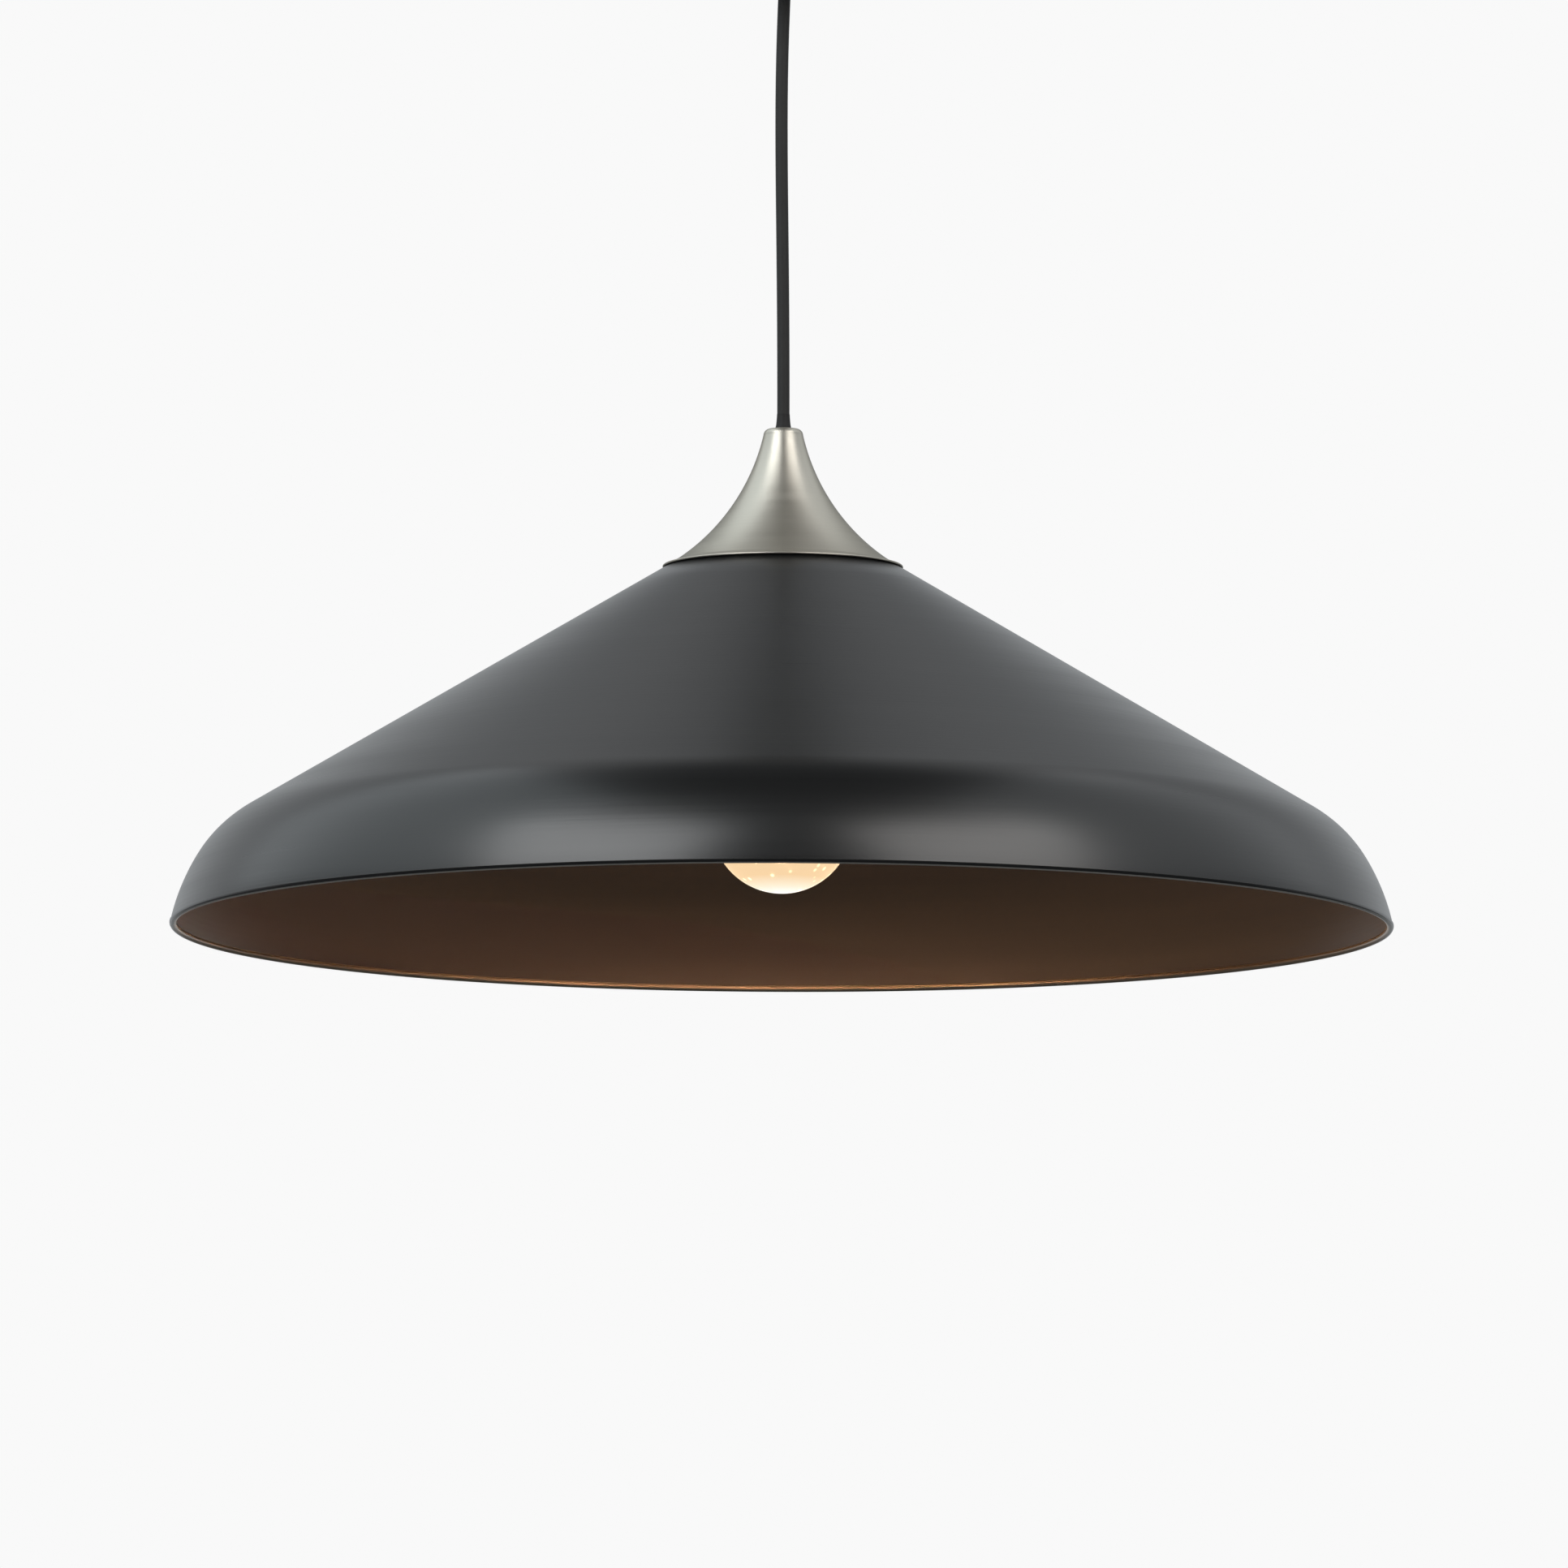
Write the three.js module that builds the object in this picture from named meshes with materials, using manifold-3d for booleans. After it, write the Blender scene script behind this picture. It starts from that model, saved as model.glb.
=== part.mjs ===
// Pendant ceiling light: a wide spun-metal shade under a trumpet-shaped cap, hung by its cord from a ceiling canopy.
// Millimetres, +Z up. The origin is on the ceiling plane, at the centre of the fitting's bracket.
import * as THREE from 'three';
import { mergeVertices } from 'three/addons/utils/BufferGeometryUtils.js';
import Module from 'manifold-3d';

const wasm = await Module();
wasm.setup();

// Overall layout: heights below the ceiling
const CORD_TOP_Z = -34.5;            // where the cord bends, inside the gland's bell mouth
const CAP_TOP_Z = -222;              // top of the trumpet cap, where the cord bends again
const GAP = 0.3;                     // clearance kept between touching pieces

// Shade, measured in the lamp's frame (zero at the cap's top)
const RIM_Z = -210;                  // lowest edge of the shade
const RIM_R = 254.83;                // outer radius at the rim
const SHADE_WALL = 1.2;
const BEAD_R = 1.5;                  // rolled edge
const CONE_ANGLE = THREE.MathUtils.degToRad(59.35);      // cone wall, from the vertical
const SHOULDER_ANGLE = THREE.MathUtils.degToRad(31.55);  // where the tight shoulder arc meets the skirt arc
const RIM_ANGLE = THREE.MathUtils.degToRad(11.4);        // skirt wall at the rim, from the vertical
const SKIRT_ARC_R = 88.8;
const SHOULDER_ARC_R = 55;
const SHADE_HOLE_R = 20.4;
const SHADE_PLATE_Z = -56.6;         // flat top plate, under the cap

// Cap
const CAP_BASE_Z = -58.5;
const CAP_BASE_R = 50.2;
const CAP_ARC_R = 87.5;              // the trumpet's hollow curve
const CAP_ARC_CENTRE = [93.6, CAP_BASE_Z + 75.4];
const CAP_WALL = 1.2;
const CAP_HOLE_R = 5.35;
const CAP_CORNER_R = 2.7;            // rounded top edge
const CAP_NECK_R = 8.3;

// Cord and its flexible ends
const CORD_R = 2.6;
const BOOT_LENGTH = 5;
const BOOT_R = 3.3;
const UPPER_BUSH_R = 6;
const UPPER_BUSH_BORE_R = 4.2;
const UPPER_BUSH_HALF = 1.6;
const LOWER_BUSH_R = 5;
const LOWER_BUSH_BORE_R = 3.8;

// Ceiling fitting
const CANOPY_R = 50;
const CANOPY_DEPTH = 25;
const CANOPY_WALL = 1.4;
const STRAP_HALF = 46;
const STRAP_WIDTH = 16;
const STRAP_THICK = 1.6;
const EAR_DEPTH = 14;
const SIDE_SCREW_Z = -9;
const THREAD_R = 5;                  // M10 pipe thread, shown smooth
const THREAD_HOLE_R = 5.4;
const EARTH_SCREW_X = 38.5;
const GLAND_SHOULDER_Z = -29.8;
const GRUB_Z = -27.4;
const POLE_X = [-8.5, 0, 8.5];       // the terminal block's three poles
const POLE_Z = -8;
const POLE_SCREW_Y = -3.2;

// Lampholder and bulb, in the lamp's frame
const SKIRT_R = 19.8;
const SKIRT_MOUTH_Z = -109;
const INSERT_TOP_Z = -51;
const BULB_FOOT_Z = -85;
const BULB_R = 29.5;
const BULB_CENTRE_Z = -80.4;         // from the bulb's foot
const BULB_NECK_R = 11.7;
const BASE_R = 12.9;
const GLASS_WALL = 1;

const COLOUR = {
  charcoal: [0x3f4244, 0.45, 0.6],
  nickel: [0xb9b5a8, 0.3, 1],
  zinc: [0xa9acae, 0.4, 1],
  rubber: [0x1c1c1c, 0.8, 0],
  black: [0x202020, 0.5, 0],
  ceramic: [0xe8e4da, 0.35, 0],
  brass: [0xb9924a, 0.35, 1],
  glass: [0xffe2b8, 0.1, 0],
  filament: [0xffb45a, 0.5, 0],
  brown: [0x6a3b1e, 0.5, 0],
  blue: [0x2b56a5, 0.5, 0],
  green: [0x4f8f2f, 0.5, 0],
};

const ceiling = new THREE.Group();
const cord = new THREE.Group();
const lamp = new THREE.Group();
lamp.position.z = CAP_TOP_Z;
const bulb = new THREE.Group();
bulb.position.z = BULB_FOOT_Z;

function add(group, name, geometry, colour) {
  const [hex, roughness, metalness] = COLOUR[colour];
  const material = new THREE.MeshStandardMaterial({ color: hex, roughness, metalness });
  const mesh = new THREE.Mesh(geometry, material);
  mesh.name = name;
  group.add(mesh);
  return mesh;
}

// A bare position mesh with shared vertices and its faces pointing out
function clean(source) {
  const geometry = source.index ? source.clone() : mergeVertices(source);
  geometry.deleteAttribute('normal');
  geometry.deleteAttribute('uv');
  const merged = mergeVertices(geometry, 1e-4);
  const p = merged.attributes.position;
  const index = merged.index.array;
  const kept = [];
  let volume = 0;
  const [a, b, c] = [new THREE.Vector3(), new THREE.Vector3(), new THREE.Vector3()];
  for (let i = 0; i < index.length; i += 3) {
    const [u, v, w] = [index[i], index[i + 1], index[i + 2]];
    if (u === v || v === w || w === u) continue;
    a.fromBufferAttribute(p, u);
    b.fromBufferAttribute(p, v);
    c.fromBufferAttribute(p, w);
    volume += a.dot(b.cross(c));
    kept.push(u, v, w);
  }
  if (volume < 0) kept.reverse();
  merged.setIndex(kept);
  return merged;
}

function toManifold(source) {
  const geometry = clean(source);
  const vertProperties = new Float32Array(geometry.attributes.position.array);
  const triVerts = new Uint32Array(geometry.index.array);
  return new wasm.Manifold(new wasm.Mesh({ numProp: 3, vertProperties, triVerts }));
}

function fromManifold(solid) {
  const mesh = solid.getMesh();
  const geometry = new THREE.BufferGeometry();
  geometry.setAttribute('position', new THREE.BufferAttribute(new Float32Array(mesh.vertProperties), 3));
  geometry.setIndex([...mesh.triVerts]);
  return geometry;
}

function cut(body, ...tools) {
  const solid = tools.reduce((rest, tool) => rest.subtract(toManifold(tool)), toManifold(body));
  return fromManifold(solid);
}

function join(...pieces) {
  const solids = pieces.map(toManifold);
  return fromManifold(solids.reduce((sum, piece) => sum.add(piece)));
}

// Turned piece: a profile of [radius, height] pairs about the Z axis. Off the axis, the profile closes on itself.
function turned(profile, sides) {
  const points = profile.map(([r, z]) => new THREE.Vector2(r, z));
  const startsOnAxis = profile[0][0] === 0 && profile[profile.length - 1][0] === 0;
  if (!startsOnAxis) points.push(points[0].clone());
  return clean(new THREE.LatheGeometry(points, sides).rotateX(Math.PI / 2));
}

// Points of a circular arc in the [radius, height] plane, both ends included
function arc(centreR, centreZ, radius, from, to, steps) {
  return Array.from({ length: steps + 1 }, (_, i) => {
    const angle = from + ((to - from) * i) / steps;
    return [centreR + radius * Math.cos(angle), centreZ + radius * Math.sin(angle)];
  });
}

// Plain rod between two heights
const rod = (radius, low, high, sides = 12) =>
  turned([[0, low], [radius, low], [radius, high], [0, high]], sides);

// Ring between two radii and two heights
const ring = (inner, outer, low, high, sides = 20) =>
  turned([[inner, low], [outer, low], [outer, high], [inner, high]], sides);

function box(sizeX, sizeY, sizeZ, x, y, z) {
  return new THREE.BoxGeometry(sizeX, sizeY, sizeZ).translate(x, y, z);
}

// Round tube along a smooth path through the given points
function tube(points, radius, steps, sides = 8) {
  const path = new THREE.CatmullRomCurve3(points.map((p) => new THREE.Vector3(...p)), false, 'centripetal');
  const section = new THREE.Shape();
  section.absarc(0, 0, radius, 0, Math.PI * 2, false);
  const options = { steps, extrudePath: path, curveSegments: sides / 2, bevelEnabled: false };
  return clean(new THREE.ExtrudeGeometry(section, options));
}

// Hexagonal nut with a round bore
function hexNut(acrossFlats, boreR, low, high) {
  const corner = acrossFlats / Math.sqrt(3);
  const corners = Array.from({ length: 6 }, (_, i) => {
    const angle = (i * Math.PI) / 3;
    return new THREE.Vector2(corner * Math.cos(angle), corner * Math.sin(angle));
  });
  const shape = new THREE.Shape(corners);
  const bore = new THREE.Path();
  bore.absarc(0, 0, boreR, 0, Math.PI * 2, true);
  shape.holes.push(bore);
  const options = { depth: high - low, bevelEnabled: false, curveSegments: 8 };
  return clean(new THREE.ExtrudeGeometry(shape, options).translate(0, 0, low));
}

// Screw along Z: the shank runs from the origin up, the head hangs below it
const screw = (shankR, length, headR, headHeight) =>
  turned([
    [0, -headHeight], [headR * 0.6, -headHeight], [headR, -headHeight * 0.45], [headR, 0],
    [shankR, 0], [shankR, length], [0, length],
  ], 10);

// --- Ceiling fitting ---------------------------------------------------------------------------------------

function bracketStrap() {
  const earX = STRAP_HALF - STRAP_THICK / 2;
  const strap = join(
    box(2 * STRAP_HALF, STRAP_WIDTH, STRAP_THICK, 0, 0, -STRAP_THICK / 2),
    box(STRAP_THICK, STRAP_WIDTH, EAR_DEPTH, -earX, 0, -EAR_DEPTH / 2),
    box(STRAP_THICK, STRAP_WIDTH, EAR_DEPTH, earX, 0, -EAR_DEPTH / 2),
  );
  const slotX = 26;
  const slotR = 2.4;
  const slots = [-slotX, slotX].map((x) => {
    const slot = new THREE.Shape();
    slot.absarc(x + 4, 0, slotR, -Math.PI / 2, Math.PI / 2, false);
    slot.absarc(x - 4, 0, slotR, Math.PI / 2, (Math.PI * 3) / 2, false);
    const options = { depth: 6, bevelEnabled: false, curveSegments: 6 };
    return new THREE.ExtrudeGeometry(slot, options).translate(0, 0, -4);
  });
  const earHole = rod(1.9, -60, 60).rotateY(Math.PI / 2).translate(0, 0, SIDE_SCREW_Z);
  const earthHole = rod(1.9, -5, 5).translate(EARTH_SCREW_X, 0, 0);
  return cut(strap, ...slots, earHole, earthHole);
}

function canopyCup() {
  const corner = 6;
  const inner = CANOPY_R - CANOPY_WALL;
  const edge = CANOPY_R - corner;
  const floor = -CANOPY_DEPTH;
  const profile = [
    [CANOPY_R, 0],
    ...arc(edge, floor + corner, corner, 0, -Math.PI / 2, 3),
    [THREAD_HOLE_R, floor],
    [THREAD_HOLE_R, floor + CANOPY_WALL],
    ...arc(edge, floor + corner, corner - CANOPY_WALL, -Math.PI / 2, 0, 3),
    [inner, 0],
  ];
  const screwHole = rod(1.9, -60, 60).rotateY(Math.PI / 2).translate(0, 0, SIDE_SCREW_Z);
  return cut(turned(profile, 32), screwHole);
}

function glandBody() {
  const profile = [
    [3.2, -17], [THREAD_R, -17], [THREAD_R, -CANOPY_DEPTH - GAP], [9.2, -CANOPY_DEPTH - GAP],
    [9.2, -31], [8.4, -37.8], [7.4, -37.8], [6.4, -36], [6.4, GLAND_SHOULDER_Z], [3.2, GLAND_SHOULDER_Z],
  ];
  const grubHole = rod(1.6, 0, 12, 10).rotateX(-Math.PI / 2).translate(0, 0, GRUB_Z);
  return cut(turned(profile, 20), grubHole);
}

function terminalBlock() {
  const block = box(26, 13, 10.5, 0, 0, -7.25);
  const wireHoles = POLE_X.map((x) => rod(1.7, -10, 10, 10).rotateX(Math.PI / 2).translate(x, 0, POLE_Z));
  const screwHoles = POLE_X.map((x) => rod(1.5, -14, POLE_Z, 10).translate(x, POLE_SCREW_Y, 0));
  return cut(block, ...wireHoles, ...screwHoles);
}

// Wire from the cord's end, out under the block and back into one of its poles
function tailWire(startX, startY, poleX) {
  const points = [
    [startX, startY, -15.2], [startX * 2, startY - 2, -14.3], [poleX * 0.8, -7.5, -13.8],
    [poleX, -11.5, -11.5], [poleX, -10.5, POLE_Z - 0.3], [poleX, -6, POLE_Z], [poleX, -1.5, POLE_Z],
  ];
  return tube(points, 0.8, 12, 6);
}

add(ceiling, 'bracket_strap', bracketStrap(), 'zinc');
add(ceiling, 'ceiling_canopy', canopyCup(), 'nickel');
for (const [name, side] of [['canopy_screw_left', -1], ['canopy_screw_right', 1]]) {
  const mesh = add(ceiling, name, screw(1.5, 6.5, 3.4, 2), 'nickel');
  mesh.rotation.y = (-side * Math.PI) / 2;
  mesh.position.set(side * (CANOPY_R + GAP), 0, SIDE_SCREW_Z);
}
add(ceiling, 'ceiling_gland', glandBody(), 'black');
add(ceiling, 'gland_nut', hexNut(14, THREAD_HOLE_R, -23.3, -19.8), 'zinc');
const grub = rod(1.2, 2.95, 8.6, 10).rotateX(-Math.PI / 2).translate(0, 0, GRUB_Z);
add(ceiling, 'gland_grub_screw', grub, 'brass');
add(ceiling, 'cord_tail', rod(CORD_R, GLAND_SHOULDER_Z, -16), 'black');
add(ceiling, 'terminal_block', terminalBlock(), 'ceramic');
const tails = [
  ['live', -1.26, 0.72, 'brown'],
  ['neutral', 0, -1.45, 'blue'],
  ['earth', 1.26, 0.72, 'green'],
];
tails.forEach(([pole, x, y, colour], i) => {
  add(ceiling, `ceiling_${pole}_wire`, tailWire(x, y, POLE_X[i]), colour);
  const clampScrew = rod(1.15, -12, POLE_Z - 1.1, 10).translate(POLE_X[i], POLE_SCREW_Y, 0);
  add(ceiling, `block_screw_${pole}`, clampScrew, 'brass');
});
const earthScrew = screw(1.5, STRAP_THICK, 3, 1.8).translate(EARTH_SCREW_X, 0, -STRAP_THICK - GAP);
add(ceiling, 'bracket_earth_screw', earthScrew, 'brass');

// --- Cord between its two flexible bushes ------------------------------------------------------------------

// Rubber ring with a ball-shaped outside, so it can rock in a round hole
function ballRing(ballR, boreR, low, high, sides) {
  const outside = arc(0, 0, ballR, Math.asin(low / ballR), Math.asin(high / ballR), 3);
  return turned([[boreR, low], ...outside, [boreR, high]], sides);
}

const upperBush = ballRing(UPPER_BUSH_R, UPPER_BUSH_BORE_R, -UPPER_BUSH_HALF, UPPER_BUSH_HALF, 12);
add(cord, 'upper_bush', upperBush, 'rubber').position.z = CORD_TOP_Z;
const bootTopZ = CAP_TOP_Z + BOOT_LENGTH;
const freeCord = [CORD_TOP_Z, bootTopZ + GAP].map((z) => [0, 0, z]);
add(cord, 'pendant_cord', tube(freeCord, CORD_R, 15, 12), 'black');
const boot = turned([[0, 0], [BOOT_R, 0], [CORD_R + 0.2, BOOT_LENGTH], [0, BOOT_LENGTH]], 16);
add(cord, 'cord_boot', boot, 'rubber').position.z = CAP_TOP_Z;
const lowerBush = ballRing(LOWER_BUSH_R, LOWER_BUSH_BORE_R, -2.2, -0.1, 12);
add(cord, 'lower_bush', lowerBush, 'rubber').position.z = CAP_TOP_Z;

// --- Cap and shade -----------------------------------------------------------------------------------------

// Radius of the cap's curve at a height, on a wall offset towards the axis
function capRadius(z, offset) {
  const [centreR, centreZ] = CAP_ARC_CENTRE;
  return centreR - Math.sqrt((CAP_ARC_R + offset) ** 2 - (centreZ - z) ** 2);
}

function trumpetCap() {
  const neckZ = -CAP_CORNER_R - 0.8;
  const lipZ = CAP_BASE_Z + 0.9;
  const innerBaseZ = CAP_BASE_Z + 2.4;
  const steps = 6;
  const heights = (from, to) => Array.from({ length: steps + 1 }, (_, i) => from + ((to - from) * i) / steps);
  const outside = heights(neckZ, lipZ).map((z) => [capRadius(z, 0), z]);
  const inside = heights(innerBaseZ, -5).map((z) => [capRadius(z, CAP_WALL), z]);
  const profile = [
    [CAP_HOLE_R, 0],
    ...arc(CAP_NECK_R - CAP_CORNER_R, -CAP_CORNER_R, CAP_CORNER_R, Math.PI / 2, 0, 3),
    ...outside,
    [CAP_BASE_R, CAP_BASE_Z + 0.5], [CAP_BASE_R, CAP_BASE_Z], [CAP_BASE_R - 0.4, CAP_BASE_Z],
    [45.6, innerBaseZ],
    ...inside,
    [CAP_NECK_R - CAP_WALL - 0.2, -CAP_CORNER_R], [CAP_HOLE_R + 0.4, -CAP_WALL], [CAP_HOLE_R, -CAP_WALL],
  ];
  return turned(profile, 28);
}

// The shade's wall outline from the top plate's edge to the rim, on a wall offset inwards
function shadeOutline(offset) {
  const skirtCentre = [RIM_R - SKIRT_ARC_R * Math.cos(RIM_ANGLE), RIM_Z - SKIRT_ARC_R * Math.sin(RIM_ANGLE)];
  const arcStep = SKIRT_ARC_R - SHOULDER_ARC_R;
  const shoulderCentre = [
    skirtCentre[0] + arcStep * Math.cos(SHOULDER_ANGLE),
    skirtCentre[1] + arcStep * Math.sin(SHOULDER_ANGLE),
  ];
  const shoulder = arc(...shoulderCentre, SHOULDER_ARC_R - offset, CONE_ANGLE, SHOULDER_ANGLE, 4);
  const skirt = arc(...skirtCentre, SKIRT_ARC_R - offset, SHOULDER_ANGLE, RIM_ANGLE + 0.02, 3);
  const [startR, startZ] = shoulder[0];
  const topZ = SHADE_PLATE_Z - offset;
  const topR = startR - (topZ - startZ) * Math.tan(CONE_ANGLE);
  return [[topR, topZ], ...shoulder, ...skirt.slice(1)];
}

function spunShade() {
  const outside = shadeOutline(0);
  const inside = shadeOutline(SHADE_WALL).reverse();
  const bead = arc(RIM_R - BEAD_R, RIM_Z + BEAD_R, BEAD_R, 0, -Math.PI, 4);
  const profile = [
    [SHADE_HOLE_R, SHADE_PLATE_Z], ...outside, ...bead, ...inside, [SHADE_HOLE_R, SHADE_PLATE_Z - SHADE_WALL],
  ];
  return turned(profile, 48);
}

add(lamp, 'trumpet_cap', trumpetCap(), 'nickel');
add(lamp, 'shade', spunShade(), 'charcoal');

// --- Cord grip, nipple and earth tag, inside the cap --------------------------------------------------------

const DOME_TOP_Z = -30;
const GRIP_SCREW_Z = -18.9;
const CORD_END_Z = -42;
const gripBody = turned([
  [THREAD_HOLE_R, DOME_TOP_Z + GAP], [8, DOME_TOP_Z + GAP], [8, -20], [6.6, -16],
  [3.1, -16], [3.1, -21.7], [THREAD_HOLE_R, -21.7],
], 20);
const gripHole = rod(1.6, 0, 12, 10).rotateX(-Math.PI / 2).translate(0, 0, GRIP_SCREW_Z);
const gripScrew = rod(1.2, 2.95, 8.2, 10).rotateX(-Math.PI / 2).translate(0, 0, GRIP_SCREW_Z);
add(lamp, 'cord_grip', cut(gripBody, gripHole), 'black');
add(lamp, 'cord_grip_screw', gripScrew, 'zinc');
add(lamp, 'inner_cord', rod(CORD_R, CORD_END_Z, -5), 'black');
add(lamp, 'threaded_nipple', ring(3.2, THREAD_R, -40, -22), 'zinc');
add(lamp, 'nipple_nut', hexNut(14, THREAD_HOLE_R, -36.2, -32.5), 'zinc');

const TAG_Z = -36.5;
const tagLug = box(9, 4, 0.8, 10, 0, TAG_Z - 0.4);
const tagBore = rod(THREAD_HOLE_R, TAG_Z - 3, TAG_Z + 3, 20);
add(lamp, 'earth_tag', cut(join(rod(8, TAG_Z - 0.8, TAG_Z, 20), tagLug), tagBore), 'brass');

// --- Lampholder --------------------------------------------------------------------------------------------

const COLLAR_TOP_Z = -53.3;
const domeCorner = Math.PI / 2;
const dome = turned([
  [21.5, COLLAR_TOP_Z + GAP], ...arc(9.5, -42, 12, 0, domeCorner, 4), [5.5, DOME_TOP_Z],
  [5.5, -32.2], ...arc(9.5, -42, 9.6, domeCorner, 0, 4), [19.1, COLLAR_TOP_Z + GAP],
], 18);
add(lamp, 'lampholder_dome', dome, 'black');

const SHELF_Z = -63.5;
const skirt = turned([
  [24.5, COLLAR_TOP_Z], [24.5, SHADE_PLATE_Z + GAP], [SKIRT_R, SHADE_PLATE_Z + GAP],
  [SKIRT_R, SKIRT_MOUTH_Z + 1], [SKIRT_R - 1, SKIRT_MOUTH_Z], [15.6, SKIRT_MOUTH_Z],
  [15.2, SKIRT_MOUTH_Z + 0.6], [15.2, SHELF_Z], [16.9, SHELF_Z], [16.9, -49], [18.6, -49], [18.6, COLLAR_TOP_Z],
], 24);
add(lamp, 'lampholder_skirt', skirt, 'black');

// Clamp ring under the shade's top plate, with a scalloped grip edge
function shadeRing(low, high) {
  const lobes = 12;
  const outline = Array.from({ length: lobes * 4 }, (_, i) => {
    const angle = (i * 2 * Math.PI) / (lobes * 4);
    const radius = 27.6 + 0.9 * Math.cos(lobes * angle);
    return new THREE.Vector2(radius * Math.cos(angle), radius * Math.sin(angle));
  });
  const shape = new THREE.Shape(outline);
  const bore = new THREE.Path();
  bore.absarc(0, 0, 20.2, 0, Math.PI * 2, true);
  shape.holes.push(bore);
  const options = { depth: high - low, bevelEnabled: false, curveSegments: 14 };
  return clean(new THREE.ExtrudeGeometry(shape, options).translate(0, 0, low));
}
const plateUnderZ = SHADE_PLATE_Z - SHADE_WALL;
add(lamp, 'shade_ring', shadeRing(plateUnderZ - GAP - 4, plateUnderZ - GAP), 'black');

const TERMINAL_X = 9;
const WIRE_HOLE_Y = 5;
const insertBody = turned([
  [0, -80.5], [13.4, -80.5], [13.4, SHELF_Z + GAP], [16.6, SHELF_Z + GAP], [16.6, INSERT_TOP_Z], [0, INSERT_TOP_Z],
], 24);
const insertHoles = [-TERMINAL_X, TERMINAL_X].flatMap((x) => [
  rod(1.9, -58, -40, 10).translate(x, 0, 0),
  rod(1.5, -58, -40, 8).translate(x, WIRE_HOLE_Y, 0),
]);
add(lamp, 'lampholder_insert', cut(insertBody, ...insertHoles), 'ceramic');
add(lamp, 'screw_shell', ring(14.2, 14.7, SKIRT_MOUTH_Z + 2, SHELF_Z - GAP, 28), 'brass');

// Sprung strip that presses on the bulb's foot
function contactStrip() {
  const top = -80.8;
  const bottom = BULB_FOOT_Z + GAP;
  const thick = 0.6;
  const outline = [
    [-9, top], [-2.5, top], [3, bottom + thick], [6, bottom + thick],
    [6, bottom], [2.7, bottom], [-2.8, top - thick], [-9, top - thick],
  ];
  const shape = new THREE.Shape(outline.map(([x, y]) => new THREE.Vector2(x, y)));
  const strip = new THREE.ExtrudeGeometry(shape, { depth: 5, bevelEnabled: false });
  return clean(strip.translate(0, 0, -2.5).rotateX(Math.PI / 2));
}
add(lamp, 'centre_contact', contactStrip(), 'brass');

for (const [pole, side, colour] of [['live', -1, 'brown'], ['neutral', 1, 'blue']]) {
  const x = side * TERMINAL_X;
  const terminalScrew = screw(1.5, 6, 2.6, 1.6).rotateX(Math.PI).translate(x, 0, INSERT_TOP_Z + GAP);
  add(lamp, `holder_screw_${pole}`, terminalScrew, 'brass');
  const route = [
    [side * 1.2, 0.4, CORD_END_Z - 2 * GAP], [side * 1.5, 0.8, -43.8], [side * 5, 3.4, -45.6],
    [x - side * 0.6, WIRE_HOLE_Y, -47.5], [x, WIRE_HOLE_Y, -50], [x, WIRE_HOLE_Y, -56],
  ];
  add(lamp, `holder_${pole}_wire`, tube(route, 0.9, 10, 6), colour);
}
const earthRoute = [
  [0, -1.5, CORD_END_Z - 2 * GAP], [0.2, -1.8, -43.6], [4, -3.5, -44.8], [9.5, -3, -43], [12.2, -0.8, -40],
  [12.4, 0, TAG_Z - 1.15],
];
add(lamp, 'holder_earth_wire', tube(earthRoute, 0.8, 10, 6), 'green');

// --- Bulb --------------------------------------------------------------------------------------------------

const bulbContact = turned([[0, -1.8], [4.6, -1.8], [4.6, -0.8], [3.4, 0], [0, 0]], 16);
add(bulb, 'bulb_contact', bulbContact, 'zinc');
const insulator = turned([[0, -6.6], [10.8, -6.6], [10.8, -5.6], [5.5, -2.1], [0, -2.1]], 16);
add(bulb, 'bulb_insulator', insulator, 'black');
const base = turned([
  [6, -6.9], [11.4, -6.9], [BASE_R, -8.4], [BASE_R, -25], [BASE_R - 0.7, -25], [BASE_R - 0.7, -8.8],
  [11.1, -7.7], [6, -7.7],
], 24);
add(bulb, 'bulb_base', base, 'nickel');

// Glass wall from the round end up to the neck, on a wall offset inwards
function glassOutline(offset) {
  const ballEnd = THREE.MathUtils.degToRad(38);
  const ball = arc(0, BULB_CENTRE_Z, BULB_R - offset, -Math.PI / 2, ballEnd, 7);
  ball[0][0] = 0;
  const [endR, endZ] = ball[ball.length - 1];
  const neckR = BULB_NECK_R - offset;
  const flare = new THREE.CubicBezierCurve(
    new THREE.Vector2(endR, endZ),
    new THREE.Vector2(endR - 16 * Math.sin(ballEnd), endZ + 16 * Math.cos(ballEnd)),
    new THREE.Vector2(neckR, -39),
    new THREE.Vector2(neckR, -27),
  );
  return [...ball, ...flare.getPoints(4).slice(1).map((p) => [p.x, p.y]), [neckR, -17]];
}
const glass = turned([...glassOutline(0), ...glassOutline(GLASS_WALL).reverse()], 20);
add(bulb, 'bulb_glass', glass, 'glass');

const stem = turned([[0, -61], [1.4, -61], [3.4, -58], [4.2, -30], [10.2, -20], [10.2, -18], [0, -18]], 14);
add(bulb, 'bulb_stem', stem, 'glass');

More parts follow.
